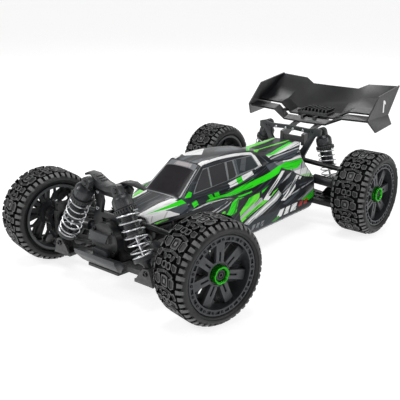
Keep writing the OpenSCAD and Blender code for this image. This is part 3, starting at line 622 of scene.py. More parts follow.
def wheels():
    tyre, rim, nut = tyre_mesh(), rim_mesh(), nut_mesh()
    for c in CORNERS:
        joint = JOINTS[f"wheel_{c}_spin"]
        side = 1 if c[1] == "l" else -1
        out = Vector(joint["axis"]).normalized() * side
        at = Matrix.Translation(joint["pos_m"]) @ facing(0, 0, 0, out)
        turn = Matrix.Rotation(math.radians(REST_TURN[c]), 4, "Z")
        meshes = [m.copy() for m in (tyre, rim, nut)]
        for m in meshes:
            m.transform(at @ turn)
        piece(f"tyre_{c}_treaded", meshes[0], f"tyre_{c}")
        piece(f"rim_{c}_spoked", meshes[1], f"rim_{c}")
        piece(f"wheel_nut_{c}", meshes[2], f"rim_{c}", replaces=False)
    for m in (tyre, rim, nut):
        bpy.data.meshes.remove(m)


# --------------------------------------------------------------------- shocks

SPRING_TOP = -25.1
SPRING_TURNS = 7
COIL_R = 11.4
WIRE_R = 0.8
PERCH_UP = 17
# share of the spring's length that each closed end turn takes up
END_SHARE = 0.0225


def shock_places(c):
    """Placing matrix of a shock (pivot at the origin, -Z down its axis) and its length in millimetres."""
    pivot = Vector(JOINTS[f"shock_body_{c}_hinge"]["pos_m"])
    up = Vector(JOINTS[f"shock_rod_{c}_slide"]["axis"]).normalized()
    back = Vector((0, 1, 0))
    turn = Matrix((back.cross(up), back, up)).transposed().to_4x4()
    foot_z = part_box(f"shock_rod_{c}")[0].z
    eye_r = 5.6
    length = (pivot.z - foot_z - eye_r * MM) / up.z / MM
    return Matrix.Translation(pivot) @ turn, length


def shock_body_mesh(front):
    body = Shape()
    head = round_outline((0, 0), 6.0, 0, 180, 10) + [(-6.0, -8.5), (6.0, -8.5)]
    body.add(extruded(head, -4, 4), at=TURN_X, edge=0.5)
    body.add(turned([(0, -5.0), (6.6, -5.0), (7.4, -5.6), (9.9, -8.4), (10.5, -9.4), (10.7, -18.2),
                     (10.3, -18.9),
                     (0, -18.9)], 40), edge=0.0)
    for k in range(8):
        a = math.tau * k / 8
        rib = Matrix.Rotation(a, 4, "Z")
        body.add(block((10.1, -0.9, -17.8), (10.95, 0.9, -10.4)), at=rib, edge=0.3)
    notch = []
    for k in range(26):
        a = math.tau * k / 26
        for part, r in ((0.0, 12.6), (0.22, 12.6), (0.3, 11.5), (0.62, 11.5), (0.7, 12.6)):
            b = a + part * math.tau / 26
            notch.append((r * math.cos(b), r * math.sin(b)))
    body.add(extruded(notch, -24.0, -20.2), edge=0.2)
    body.add(turned([(9.4, -20.2), (12.2, -20.2), (12.2, -19.6), (9.4, -19.4)], 40))
    thread = [(8.0, -19.0)]
    z = -24.0
    while z > -46.5:
        thread += [(8.5, z), (8.5, z - 0.7), (8.05, z - 1.0), (8.05, z - 1.5)]
        z -= 1.8
    thread += [(8.3, -46.8), (9.0, -47.2), (9.0, -49.4), (8.0, -50.0), (2.4, -50.0), (2.4, -49.0)]
    body.add(turned(thread, 40))
    tip = -1 if front else 1
    head_at = facing(0, tip * 4.0, 0, (0, tip, 0))
    body.add(screw(3.2, 2.0), at=head_at, slot=1)
    body.add(turned([(3.4, 0.05), (4.2, 0.05), (4.2, 0.6), (3.4, 0.6)], 24), at=head_at, slot=0)
    return body


def shock_rod_mesh(length):
    rod = Shape()
    rod.add(turned([(0, -36.0), (1.5, -36.0), (1.5, -length + 8)], 20), slot=1)
    low = -length
    rod.add(turned([(1.6, low + 18.6), (3.4, low + 18.4), (4.2, low + 16.9), (10.2, low + 16.9),
                    (12.1, low + 16.9),
                    (12.2, low + 16.2), (12.2, low + 13.6), (11.6, low + 13.0), (8.0, low + 12.6),
                    (5.0, low + 9.0), (4.2, low + 6.0), (4.2, low + 3.0), (0, low + 3.0)], 40))
    rod.add(turned([(2.6, -4), (4.9, -4), (5.6, -3.2), (5.6, 3.2), (4.9, 4), (2.6, 4)], 32),
            at=Matrix.Translation((0, 0, low)) @ TURN_X)
    rod.add(turned([(0, 3.2), (1.4, 3.2), (1.5, 4.2), (2.3, 4.3), (2.55, 3.2), (2.55, -3.2), (2.0, -4.2),
                    (0, -4.2)], 24), at=Matrix.Translation((0, 0, low)) @ TURN_X, slot=2)
    return rod


def spring_mesh(length):
    """Coil with its two end turns closed up, as one round wire."""
    top, low = SPRING_TOP - 0.1, -length + PERCH_UP + WIRE_R + 0.1
    per_turn = 26
    rings = SPRING_TURNS * per_turn
    flat = 0.9 * per_turn
    points = []
    for i in range(rings + 1):
        a = math.tau * i / per_turn
        lead = max(0.0, min(1.0, (i - flat * 0.8) / (rings - flat * 1.6)))
        in_ends = (min(i, flat) + max(0.0, i - rings + flat)) / flat
        z = top + (low - top) * ((1 - 2 * END_SHARE) * lead + END_SHARE * in_ends)
        points.append((COIL_R * math.cos(a), COIL_R * math.sin(a), z))
    coil = Shape()
    coil.add(tube(points, WIRE_R, 10))
    return coil


def shocks():
    for c in CORNERS:
        at, length = shock_places(c)
        front = c[0] == "f"
        body = shock_body_mesh(front).mesh("shock_body", [shock_black, dark_steel], SCALE)
        piece(f"shock_body_{c}_turned", body, f"shock_body_{c}", at)
        rod = shock_rod_mesh(length).mesh("shock_rod", [shock_black, chrome, silver], SCALE)
        piece(f"shock_rod_{c}_polished", rod, f"shock_rod_{c}", at)
        coil = spring_mesh(length).mesh("spring", [spring_wire], at @ SCALE)
        obj = placed(f"spring_{c}_wire", coil)
        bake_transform(obj)
        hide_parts(f"spring_{c}")


# ----------------------------------------------------------------- body shell

# Half rows of the shell from the nose to the tail, each from the centre line over the roof's edge, down
# the window, across the shelf and down the pod to the lower edge.
SHELL_ROWS = [
    [(0, -162, 82), (13, -161, 83), (22, -156, 83), (25, -150, 79), (26, -148, 73), (25, -146, 69),
     (24, -145, 67)],
    [(0, -130, 88), (16, -130, 88), (25, -128, 87), (31, -127, 81), (34, -126, 75), (33, -125, 71),
     (32, -125, 69)],
    [(0, -99, 91), (20, -96, 91), (28.5, -94, 89), (40, -97, 83), (44, -103, 77), (42, -103, 73),
     (41, -103, 71)],
    [(0, -82, 103), (19, -80, 103), (27, -78, 101), (36, -78, 84), (56, -74, 84), (55, -74, 80),
     (54, -73, 74)],
    [(0, -58, 119), (18, -57, 119), (24, -54, 118), (35, -50, 83), (58, -50, 83), (57, -48, 79),
     (59, -42, 60)],
    [(0, -25, 123), (18, -25, 122.5), (24, -27, 119), (34, -25, 82), (56, -25, 77), (55, -25, 73),
     (62, -20, 27)],
    [(0, 15, 120.5), (17, 15, 120), (25, 15, 116), (33, 15, 87), (56, 20, 70), (60, 20, 64), (62, 20, 27)],
    [(0, 45, 116.5), (17, 45, 116), (25, 42, 111), (31, 57, 93), (53, 60, 83), (63, 45, 58), (62, 50, 27)],
    [(0, 70, 108), (16, 70, 108), (26, 70, 104), (38, 74, 97), (49, 76, 92), (63, 70, 57), (62, 75, 27)],
    [(0, 90, 104), (16, 90, 104), (28, 92, 101), (40, 95, 95), (50, 89, 86), (63, 92, 57), (62, 95, 27)],
    [(0, 125, 104), (16, 125, 104), (27, 125, 102), (38, 120, 92), (49, 115, 82), (62, 118, 60),
     (62, 118, 27)],
    [(0, 165, 104), (12, 165, 104), (22, 163, 104), (30, 148, 99), (40, 142, 86), (60, 141, 65),
     (62, 141, 27)]]
SHELL_T = 1.3
TOP, WINDOW, SHELF, POD, INNER = range(5)
ZONE = (TOP, TOP, WINDOW, SHELF, POD, POD)

# Livery: plan shapes are (y, x) and side shapes (y, z), painted in this order.

def both_sides(colour, y0, half0, y1, half1):
    """Plan shape that is the same to both sides of the car."""
    return colour, [(y0, -half0), (y0, half0), (y1, half1), (y1, -half1)]


def slanted(colour, places, wide, low, high, lean):
    """Row of blank slanted bars on the side, one at each place."""
    return [(colour,
             [(y, high), (y + wide, high), (y + wide - lean, low), (y - lean, low)]) for y in places]


TOP_SHAPES = [
    # bonnet: white wedges along both edges, thin grey lines down the middle
    (WHITE, [(-160, 19.5), (-120, 20), (-106, 22), (-97, 27.5), (-97, 34), (-160, 34)]),
    (WHITE, [(-160, -19.5), (-120, -14), (-106, -15), (-97, -23), (-97, -34), (-160, -34)]),
    (PALE_GREEN, [(-140, 24.5), (-112, 27), (-97, 30.5), (-97, 33), (-125, 29)]),
    (PALE_GREEN, [(-128, -17.5), (-108, -19), (-97, -26), (-97, -33), (-112, -27)]),
    (GREY, [(-158, 10.5), (-150, 11), (-150, 14), (-158, 13.5)]),
    (STEEL, [(-150, 3.2), (-106, 4.6), (-106, 6.4), (-150, 4.6)]),
    (STEEL, [(-150, -3.5), (-106, -6.8), (-106, -7.8), (-150, -4.2)]),
    (SLATE, [(-150, 10), (-106, 11), (-106, 14), (-150, 12.4)]),
    (GREY, [(-128, -8.4), (-105, -11.0), (-104, -12.2), (-128, -9.3)]),
    (GREY, [(-110, 18.0), (-104, 19.8), (-104, 21.0), (-112, 19.2)]),
    # windscreen: a grey frame, the dark glass and a blank banner strip
    both_sides(GREY, -102, 30, -57, 24.5),
    both_sides(BLACK, -100, 29, -57, 23.8),
    (SILVER, [(-97, 25.6), (-97, 27.4), (-62, 22.8), (-62, 21.6)]),
    (SILVER, [(-97, -25.6), (-97, -27.4), (-62, -22.8), (-62, -21.6)]),
    both_sides((0.014, 0.012, 0.015), -98, 25, -63.5, 21),
    both_sides(GREY, -64.5, 21, -57.5, 20),
    ((0.38, 0.35, 0.36), [(-63.5, -11), (-63.5, 14), (-58.8, 13), (-58.8, -10)]),
    # roof
    (STEEL, [(-56, 9), (-56, 17), (-41, 15), (-40, 12)]),
    (STEEL, [(-56, -3), (-56, -9), (-36, -7), (-34, -3)]),
    (WHITE, [(-56, 19), (-46, 18.5), (-38, 20.5), (-36, 26), (-56, 26)]),
    (WHITE, [(-56, -14.5), (-46, -16.5), (-31, -26), (-52, -26)]),
    (WHITE, [(-43, -11.5), (-30, 4), (-4, -13.5), (5, -26), (-28, -26), (-41, -17)]),
    (WHITE, [(-37, 21.2), (48, 21.2), (52, 30), (-37, 30)]),
    (STEEL, [(-8, 6), (6, 13), (30, 14), (40, 6), (16, -3), (-4, 2)]),
    (GREY, [(0, -14), (22, -17), (40, -18.5), (42, -20), (4, -22)]),
    (STEEL, [(30, 4), (48, 0), (76, -22), (72, -26), (40, -8)]),
    (BLACK, [(46, 19.5), (50, 30), (75, 30), (72, 22), (56, 16)]),
    # tail: green lines that run across the spine, then along the deck
    (GREEN, [(40, 18.5), (47, 18.5), (84, -8), (80, -10)]),
    (GREEN, [(80, -10), (84, -8), (122, -34), (112, -34)]),
    (DEEP_GREEN, [(48, 14), (50, 14), (88, -14), (84, -14)]),
    (PALE_GREEN, [(57, 18.5), (64, 18.5), (92, 2.2), (92, -0.8), (80, 1.5)]),
    (PALE_GREEN, [(92, -0.8), (92, 2.2), (150, 5.6), (164, 4.4), (164, 1.0), (130, 0.6)]),
    (WHITE, [(76, 27), (118, 20), (164, 13), (164, 34), (72, 34)]),
    (STEEL, [(84, 31.5), (164, 21), (164, 24), (84, 33.5)]),
    (GREEN, [(73, 25.5), (110, 17.5), (154, 9.4), (155, 14.6), (118, 21), (76, 28.6)]),
    (MIST_GREEN, [(84, 27.4), (155, 14.6), (155, 16.2), (84, 28.6)]),
    (PALE_GREEN, [(92, -13), (128, -13.5), (160, -18), (164, -23), (140, -34), (114, -34), (100, -22)]),
    (MIST_GREEN, [(124, -16), (160, -19), (164, -24), (150, -30), (134, -27)]),
    (GREEN, [(108, -17), (112, -17), (142, -30), (138, -31)]),
    (SLATE, [(100, -2.5), (164, -4), (164, -9), (100, -9.5)]),
]
WINDOW_SHAPES = [
    # bonnet side
    (WHITE, [(-165, 90), (-108, 90), (-97, 84), (-104, 76), (-165, 72)]),
    (GREEN, [(-150, 82.4), (-97, 88.0), (-92, 86.5), (-97, 84.5), (-126, 83.2)]),
    (STEEL, [(-127, 82), (-97, 85), (-92, 80), (-96, 76), (-110, 79)]),
    (SLATE, [(-97, 90), (-80, 102), (-72, 98), (-80, 84), (-95, 78)]),
    (GREEN, [(-93, 88.5), (-84, 94), (-80.5, 92), (-85, 88.5)]),
    (GREY, [(-96, 84), (-93, 84), (-100, 76), (-103, 76)]),
    # window surround and panes
    (GREY, [(-80, 90.2), (-54, 113.5), (6, 112.6), (42, 110.5), (52, 93.5), (4, 91.5)]),
    ((0.028, 0.026, 0.030), [(-77, 91.2), (-55, 112), (-46.5, 112.8), (-47.5, 91.2)]),
    ((0.020, 0.018, 0.022), [(-44.6, 91.2), (-43.6, 112.8), (-14, 112.8), (-14.4, 91.4)]),
    ((0.024, 0.022, 0.025), [(-11.4, 91.6), (-10, 112.4), (1, 111.8), (3.4, 94.4), (1, 92.4)]),
    (STEEL, [(6, 94), (3.6, 112.2), (8, 112.2), (9.6, 93)]),
    (SLATE, [(9.6, 94), (8.4, 112), (41, 109.4), (50.5, 94.4)]),
    ((0.07, 0.075, 0.085), [(12, 98), (20, 111), (30, 110), (22, 95)]),
    (WHITE, [(41.5, 112), (47.5, 112), (57.5, 94.5), (52.5, 93.5)]),
    (INK, [(48, 112), (76, 105), (76, 96.5), (57.5, 95)]),
    (STEEL, [(58, 108), (60, 107.6), (68, 97), (66, 96.5)]),
    # strip under the windows
    (WHITE, [(-15, 88.2), (2, 89.8), (2, 86.6), (-12, 84.5)]),
    (GREEN, [(2, 89.8), (13, 90.8), (13, 87.4), (2, 86.6)]),
    (WHITE, [(13, 90.8), (36, 92.6), (36, 89.6), (13, 87.4)]),
    (SILVER, [(42, 94.2), (56, 95.8), (56, 94.0), (42, 92.4)]),
    # tail shoulder
    (WHITE, [(74, 110), (164, 110), (164, 102.2), (74, 101.2)]),
    (SILVER, [(74, 100.4), (150, 100.2), (150, 99.2), (74, 99.4)]),
    (STEEL, [(76, 98.8), (146, 98.6), (143, 92), (110, 94.5)]),
    (INK, [(76, 101.6), (150, 101.8), (150, 101.0), (76, 100.6)]),
    (INK, [(80, 97.2), (146, 96.4), (146, 95.8), (80, 96.6)]),
]
SHELF_SHAPES = [
    (WHITE, [(-165, 20), (-165, 40), (-112, 40), (-99, 34), (-104, 26)]),
    (GREY, [(-104, 44), (-101, 44), (-93, 34), (-98, 34)]),
    (SLATE, [(-101, 46), (-66, 46), (-58, 36), (-93, 36)]),
    (GREEN, [(-93, 45), (-85, 45), (-79, 36.5), (-88, 36.5)]),
    (DEEP_GREEN, [(-84, 51), (-50, 52), (-40, 46), (-66, 46.4)]),
    (GREEN, [(-76, 47.2), (-40, 50), (-40, 43.5), (-62, 44.5)]),
    (GREEN, [(-40, 50), (0, 46.2), (0, 39.5), (-40, 43.5)]),
    (GREEN, [(-63, 44), (-56, 44), (-48, 34), (-56, 34)]),
    (GREEN, [(-53, 43), (-44, 43), (-34, 33.5), (-43, 33.5)]),
    (GREEN, [(0, 46.2), (30, 47), (30, 40.5), (0, 39.5)]),
    (GREEN, [(30, 47), (60, 50.5), (60, 43), (30, 40.5)]),
    (GREEN, [(60, 50.5), (76, 52.5), (76, 45.6), (60, 43)]),
    (DEEP_GREEN, [(-30, 41.2), (30, 38.6), (30, 37.8), (-30, 40.2)]),
    (DEEP_GREEN, [(-26, 47.4), (20, 44.8), (20, 44.2), (-26, 46.6)]),
    (STEEL, [(-20, 37.4), (40, 36.4), (40, 35.4), (-20, 36.2)]),
    (WHITE, [(-14, 35.6), (2, 35.8), (2, 33), (-14, 32.6)]),
    (GREEN, [(2, 35.8), (13, 35.4), (13, 32.6), (2, 33)]),
    (WHITE, [(13, 35.4), (36, 34.4), (36, 31), (13, 32)]),
    (GREEN, [(-22, 54.8), (10, 51.2), (10, 49.8), (-22, 52.0)]),
    (SILVER, [(-104, 47), (-50, 59.5), (-50, 56.4), (-104, 44.4)]),
    (SILVER, [(-50, 59.5), (-24, 58), (-24, 56.2), (-50, 56.4)]),
    (STEEL, [(-121, 32.5), (-98, 37.6), (-98, 44.8), (-108, 42)]),
    (SLATE, [(-112, 40.4), (-98, 41.5), (-98, 44.8), (-108, 42)]),
    # tail shoulder
    (STEEL, [(60, 43), (76, 45.6), (76, 30), (64, 30)]),
    (GREY, [(74, 45.6), (141, 40.5), (141, 34), (74, 38)]),
    (GREEN, [(76, 52.5), (142, 50), (142, 39), (96, 41.6), (76, 45.4)]),
    (WHITE, [(92, 41.2), (142, 38.2), (142, 35.8), (92, 39.8)]),
    (INK, [(78, 40.4), (148, 34.2), (148, 33.2), (78, 39.4)]),
    (SILVER, [(80, 38.4), (150, 32.2), (150, 31), (80, 36.8)]),
]
POD_SHAPES = [
    (WHITE, [(-165, 84), (-100, 84), (-100, 78.5), (-128, 74), (-150, 70), (-165, 66)]),
    (PALE_GREEN, [(-140, 71), (-124, 74.5), (-124, 72.5), (-136, 69)]),
    (SILVER, [(-104, 79), (-74, 85), (-50, 84.5), (-50, 82.2), (-74, 82.6), (-104, 76.5)]),
    (SILVER, [(-50, 84.5), (-24, 79), (-24, 77.6), (-50, 82.2)]),
    (SLATE, [(-74, 80), (-50, 80.5), (-46, 76), (-62, 70)]),
    (SILVER, [(-72, 72), (-48, 79.5), (-47, 78.4), (-70, 70.6)]),
    (SILVER, [(-70, 69), (-40, 77), (-39, 76), (-68, 67.6)]),
    (GREEN, [(-50, 63.5), (-38, 74.6), (-22, 77), (-31, 61.5), (-43, 61)]),
    (GREEN, [(-38, 74.6), (-22, 80), (10, 77.8), (10, 76), (-22, 75)]),
    (GREEN, [(10, 77.8), (34, 80), (60, 86), (60, 84.4), (34, 77.6), (10, 76)]),
    (DEEP_GREEN, [(-26, 76.6), (-22, 76.6), (-34, 60.5), (-37, 60.5)]),
    (PALE_GREEN, [(-60, 66), (-54, 69), (-50, 67), (-56, 62)]),
    (PALE_GREEN, [(-24, 59), (-4, 71.8), (20, 73.4), (14, 66.5), (-24, 54)]),
    (GREEN, [(-16, 64), (-2, 72), (6, 72.6), (-8, 63.4)]),
    (SILVER, [(-24, 54), (14, 67), (20, 67), (20, 63), (-24, 50)]),
    (WHITE, [(6, 64.5), (20, 68), (52, 80.5), (74, 86.2), (96, 85.5), (72, 81), (46, 74.6), (20, 62.6)]),
    (GREEN, [(22, 70.5), (52, 80.8), (56, 82.4), (24, 73.2)]),
    (STEEL, [(30, 66.5), (60, 76), (78, 80), (64, 74.5), (36, 66)]),
    (SILVER, [(52, 70), (84, 80), (104, 82.4), (104, 80.6), (86, 77.6), (56, 68.6)]),
    (SLATE, [(78, 74), (112, 80.4), (110, 76), (84, 70)]),
    (PALE_GREEN, [(-24, 50), (20, 63), (56, 70.6), (56, 68), (20, 58), (-20, 44.5)]),
    (DEEP_GREEN, [(-14, 50.5), (18, 60.4), (18, 59.4), (-12, 49)]),
    (SILVER, [(-18, 43.6), (20, 56.5), (20, 47), (-9, 39.8)]),
    (SILVER, [(20, 56.5), (56, 68), (60, 62), (20, 47)]),
    (WHITE, [(-10, 44), (20, 53.8), (54, 64.8), (55, 62.8), (20, 50.6), (-8, 41.6)]),
    (GREY, [(56, 62.4), (76, 69), (112, 74.4), (112, 73.2), (78, 66.8), (58, 60.8)]),
    (GREY, [(60, 58), (80, 63.6), (120, 70.4), (120, 69.4), (82, 62), (62, 56.4)]),
    (WHITE, [(21, 63.8), (31, 61.3), (81.4, 86.3), (74.3, 87.8)]),
    (INK, [(33, 66), (38, 65), (80, 83.4), (78, 84.6)]),
    (WHITE, [(56, 55), (65.5, 52.6), (116.7, 71.6), (106.3, 76)]),
    (STEEL, [(64, 56.4), (67, 55.8), (112, 72.6), (109, 73.4)]),
    (INK, [(100.3, 71.5), (138.7, 64), (139.5, 56.8), (82.9, 49.8)]),
    (SILVER, [(62.5, 62), (101.9, 71.5), (102, 70.2), (63, 60.4)]),
    (SILVER, [(73, 57), (138.8, 63.2), (139, 62), (73.4, 55.4)]),
    (SILVER, [(33.6, 69.6), (61.8, 81.2), (62, 79.6), (34, 67.6)]),
    (SILVER, [(84, 88), (142, 88), (142, 66), (116, 74), (104, 80)]),
    (WHITE, [(104, 81), (142, 78), (142, 66), (116, 73), (104, 79)]),
    (MIST_GREEN, [(114, 74.2), (142, 71), (142, 66), (124, 70.2)]),
    (STEEL, [(60, 49), (78, 53.4), (108, 60.6), (100, 55.2), (70, 46)]),
    (STEEL, [(104, 64.5), (142, 63.5), (142, 62.4), (104, 62.8)]),
    (GREY, [(96, 45), (142, 57), (142, 50.4), (110, 42)]),
    (SILVER, [(105, 45.6), (140, 53.9), (140, 51.4), (108, 43.8)]),
    (GREEN, [(108, 42.6), (141, 50.4), (141, 40), (126.9, 37.5)]),
    # lower panel: blank slanted bars, a light sill line and a small green dash
    (SLATE, [(-20, 27), (-12, 39), (56, 60), (64, 46), (92, 44), (142, 44), (142, 27)]),
    (WHITE, [(56, 42.5), (66, 42.5), (60, 33), (48, 33)]),
    (WHITE, [(70, 42.5), (80, 42.5), (75, 33), (65, 33)]),
    (WHITE, [(84, 42.5), (97, 42.5), (93, 33), (80, 33)]),
    *slanted(RED, (103, 116), 8, 35, 41.5, 3),
    *slanted(GREY, (-1, 8, 17), 6, 31.5, 37.5, 4),
    (DEEP_GREEN, [(38, 31.2), (53, 35.6), (56, 32.6), (46, 29.8)]),
    (SILVER, [(-20, 28.4), (130, 28.4), (130, 26), (-20, 26)]),
]


def shell_mesh():
    """The shell's control rows as one grid, with its folds creased for the subdivision."""
    made = bmesh.new()
    grid = []
    for row in SHELL_ROWS:
        left = [made.verts.new(p) for p in row[:0:-1]]
        middle = [made.verts.new(row[0])]
        right = [made.verts.new((-x, y, z)) for x, y, z in row[1:]]
        grid.append(left + middle + right)
    crease = made.edges.layers.float.new("crease_edge")
    half = len(SHELL_ROWS[0]) - 1
    for i in range(len(grid) - 1):
        for j in range(2 * half):
            column = half - 1 - j if j < half else j - half
            f = made.faces.new((grid[i][j], grid[i][j + 1], grid[i + 1][j + 1], grid[i + 1][j]))
            f.material_index = ZONE[column]
            f.smooth = True
    folds = {1: 0.15, 2: 0.75, 3: 0.85, 4: 0.85, 5: 0.6}
    rows = {2: 0.85, 3: 0.2, 4: 0.55, 5: 0.2, 6: 0.2, 7: 0.6, 8: 0.5, 9: 0.4, 10: 0.3}
    for i, row in enumerate(grid):
        for j in range(2 * half + 1):
            if i + 1 < len(grid):
                e = made.edges.get((row[j], grid[i + 1][j]))
                e[crease] = folds.get(abs(j - half), 0.0)
            if j < 2 * half and i in rows:
                made.edges.get((row[j], row[j + 1]))[crease] = rows[i]
    made.transform(CAR)
    bmesh.ops.recalc_face_normals(made, faces=made.faces)
    mesh = bpy.data.meshes.new("body_shell_painted")
    made.to_mesh(mesh)
    made.free()
    return mesh


def body_shell():
    mesh = shell_mesh()
    inner = surface("shell_inner", (0.02, 0.02, 0.022), 0.5, grain_mm=3.0, grain=0.1)
    for m in (painted("livery_top", "plan", BLACK, TOP_SHAPES, -5, 0.3),
              painted("livery_window", "side", INK, WINDOW_SHAPES, -3, 0.2),
              painted("livery_shelf", "plan_both", BLACK, SHELF_SHAPES, -6, 0.4),
              painted("livery_pod", "side", BLACK, POD_SHAPES, 24, 0.85),
              inner):
        mesh.materials.append(m)
    shell = piece("body_shell_painted", mesh, "body_shell")
    smooth = shell.modifiers.new("smooth", "SUBSURF")
    smooth.levels = smooth.render_levels = 3
    wall = shell.modifiers.new("wall", "SOLIDIFY")
    wall.thickness = SHELL_T * MM
    wall.offset = -1.0
    wall.material_offset = INNER
    wall.material_offset_rim = 0
    return shell


# ------------------------------------------------------- parts kept near the CAD

def carried(node, materials, edge=0.5, extra=None, smooth=34):
    """A CAD node's form with rounded edges, and whatever extra(shape) adds to it."""
    shape = Shape()
    shape.carry(node, edge)
    if extra:
        extra(shape)
    return piece(f"{node}_finished", shape.mesh(f"{node}_finished", materials, CAR, smooth), node)


# the axles' places in the car's layout, and an outline in [y, z] stood up across the front axle
FY = -HALF_BASE
RY = HALF_BASE
AT_FRONT = Matrix.Translation((0, FY, 0)) @ TURN_X
GUARD_SLOPE = 6.6 / 14


def front_gearbox_extra(shape):
    """Raised blank plate, bolts and the outdrive cups with their rings."""
    plate = [(-19, 57.5), (7, 57.5), (12, 67.5), (-15, 68.5)]
    shape.add(extruded(plate, 27.5, 31.5), at=AT_FRONT, edge=0.8, slot=1)
    ring = turned([(7.2, 0), (7.2, 3.2), (8.2, 4.0), (9.4, 4.0), (10.2, 3.0), (11.6, 2.4), (13.0, 2.4),
                   (14.6, 1.4),
                   (16.4, 1.0), (16.6, 0)], 48)
    for side in (-1, 1):
        shape.add(ring, at=facing(side * 19.0, FY, 58, (side, 0, 0)))
    step = [(-13, 40.5), (9, 40.5), (9, 47.0), (4, 49.5), (-13, 49.5)]
    shape.add(extruded(step, 24.5, 31.0), at=AT_FRONT, edge=0.8, slot=1)
    shape.add(block((-15, FY - 33.0, 36.0), (13, FY - 24.0, 39.5)), edge=0.6, slot=1)
    for x, z in ((-15.5, 72.0), (15.5, 72.0), (-16.5, 50.0), (16.5, 50.0)):
        shape.add(screw(2.3, 1.6), at=facing(x * 0.9, FY - 26.0, z - 2, (0, -1, 0)), slot=2)


def tower_guard_extra(shape):
    """Raised slanted panels on the guard's two fins."""
    for k in range(3):
        low, high = 10.0 + 3.6 * k, 12.2 + 3.6 * k
        z0, z1 = [118.8 + (x - 8.0) * GUARD_SLOPE for x in (low, high)]
        panel = [(low, z0), (high, z1), (high, z1 + 0.9), (low, z0 + 0.9)]
        shape.add_both(extruded(panel, 7.5, 15.5), at=AT_FRONT, edge=0.2)


def wing_extra(shape):
    """Low saddle ribs, its bolts, two fences and the plain numeral on the endplates."""
    rib_foot = 134
    for v in shape.bm.verts:
        if abs(v.co.x) < 21 and 234 < v.co.y < 264 and v.co.z > rib_foot:
            v.co.z = rib_foot + (v.co.z - rib_foot) * 0.45
    for x in (-21, 21):
        for y in (233, 247):
            shape.add(screw(2.2, 1.5), at=facing(x, y, 132.4, (0, 0, 1)), slot=1)
    for x in (-24.6, 24.6):
        shape.add(block((x - 0.9, 229.5, 127), (x + 0.9, 258, 134.5)), edge=0.3)
    one = [(0, 0), (3.4, 0), (3.4, 17), (-0.4, 17), (-3.6, 13.4), (-3.6, 10.6), (0, 12.6)]
    for side in (-1, 1):
        turn = Matrix.Rotation(math.radians(-90 * side), 4, "Z")
        at = Matrix.Translation((side * 98.95, 254, 142)) @ turn @ TURN_X
        shape.add(extruded(one, -0.35, 0.35), at=at, slot=2, edge=0.1)


def towers_and_wing():
    carried("front_shock_tower", [satin, silver], 0.7, lambda s: [
        s.add_both(screw(2.4, 1.6), at=facing(20, FY - 14, z, (0, -1, 0)), slot=1) for z in (88, 106)])
    carried("rear_shock_tower", [graphite, silver], 0.7, lambda s: [
        s.add_both(screw(2.2, 1.5), at=facing(x, RY + 6, 119.5, (0, -1, 0)), slot=1) for x in (6, 22)])
    carried("tower_guard", [satin], 0.4, tower_guard_extra, 20)
    carried("front_gearbox", [nylon, graphite, dark_steel], 0.7, front_gearbox_extra)
    carried("rear_gearbox", [nylon, dark_steel], 0.7, lambda s: [
        s.add_both(screw(2.3, 1.6), at=facing(15, RY + 22, z, (0, 1, 0)), slot=1) for z in (34, 56)])
    carried("front_bumper", [graphite], 0.8)
    carried("wing", [wing_black, dark_steel, mark_white], 0.25, wing_extra, 16)
    carried("wing_mount", [nylon], 0.8)
    carried("chassis_tub", [nylon], 0.8)


def running_gear():
    for c in CORNERS:
        side = 1 if c[1] == "l" else -1
        base = Matrix.Translation((0, FY if c[0] == "f" else RY, 0))
        if side < 0:
            base = base @ MIRROR
        front = c[0] == "f"

        def arm_extra(s, base=base, front=front):
            foot_y = -25 if front else 21
            away = -1 if front else 1
            s.add(screw(3.0, 2.2), at=base @ facing(66, foot_y + away * 7.0, 41, (0, away, 0)), slot=1)
            s.add(screw(2.2, 1.4), at=base @ facing(98, -14, 29, (0, -1, 0)), slot=1)
            for x in (34, 46, 58):
                s.add(block((x - 0.8, -15.5, 30.5), (x + 0.8, 15.5, 36.2 - (x - 24) * 0.054)), at=base,
                      edge=0.3)

        carried(f"arm_{c}", [nylon, dark_steel], 0.8, arm_extra)
        carried(f"driveshaft_{c}", [satin], 0.4)
        carried(f"camber_link_{c}", [nylon, silver], 0.5, lambda s, base=base,
                front=front: [
            s.add(screw(2.6, 1.8), at=base @ facing(x, (6 if front else 2) - 3.4, z, (0, -1, 0)), slot=1)
            for x, z in ((24, 74 if front else 80), (98, 70 if front else 76))])
        if front:
            carried(f"caster_block_{c}", [nylon, silver], 0.6, lambda s, base=base: [
                s.add(screw(2.6, 1.8), at=base @ facing(109, 0, z, (0, 0, d)), slot=1)
                for z, d in ((73, 1), (35, -1))])
            carried(f"knuckle_{c}", [satin], 0.5)
            carried(f"toe_link_{c}", [nylon], 0.4)
        else:
            carried(f"hub_carrier_{c}", [nylon], 0.7)


def inner_equipment():
    for node, material, slot, edge in (
            ("motor", alloy, "motor_can", 0.6), ("battery", cell_wrap, "battery_wrap", 1.6),
            ("speed_control", nylon, "esc_case", 0.5), ("steering_servo", nylon, "servo_case", 0.6),
            ("hinge_pins", silver, "steel_pin", 0.2), ("spur_gear", gear_nylon, "gear_plastic", 0.12),
            ("pinion", dark_steel, "pinion_steel", 0.12), ("bellcrank_left", nylon, "bellcrank_plastic",
                                                           0.4),
            ("bellcrank_right", nylon, "bellcrank_plastic", 0.4), ("drag_link", alloy, "drag_alloy", 0.4)):
        carried(node, [material], edge)


# ------------------------------------------------------------ camera and light

CAMERA_AT = (0.52327, -0.70297, 0.33763)
CAMERA_BACK = (0.60311, -0.73235, 0.31609)
CAMERA_TURN = 39.47
CAMERA_ROLL = 0.31
LENS = 63.79


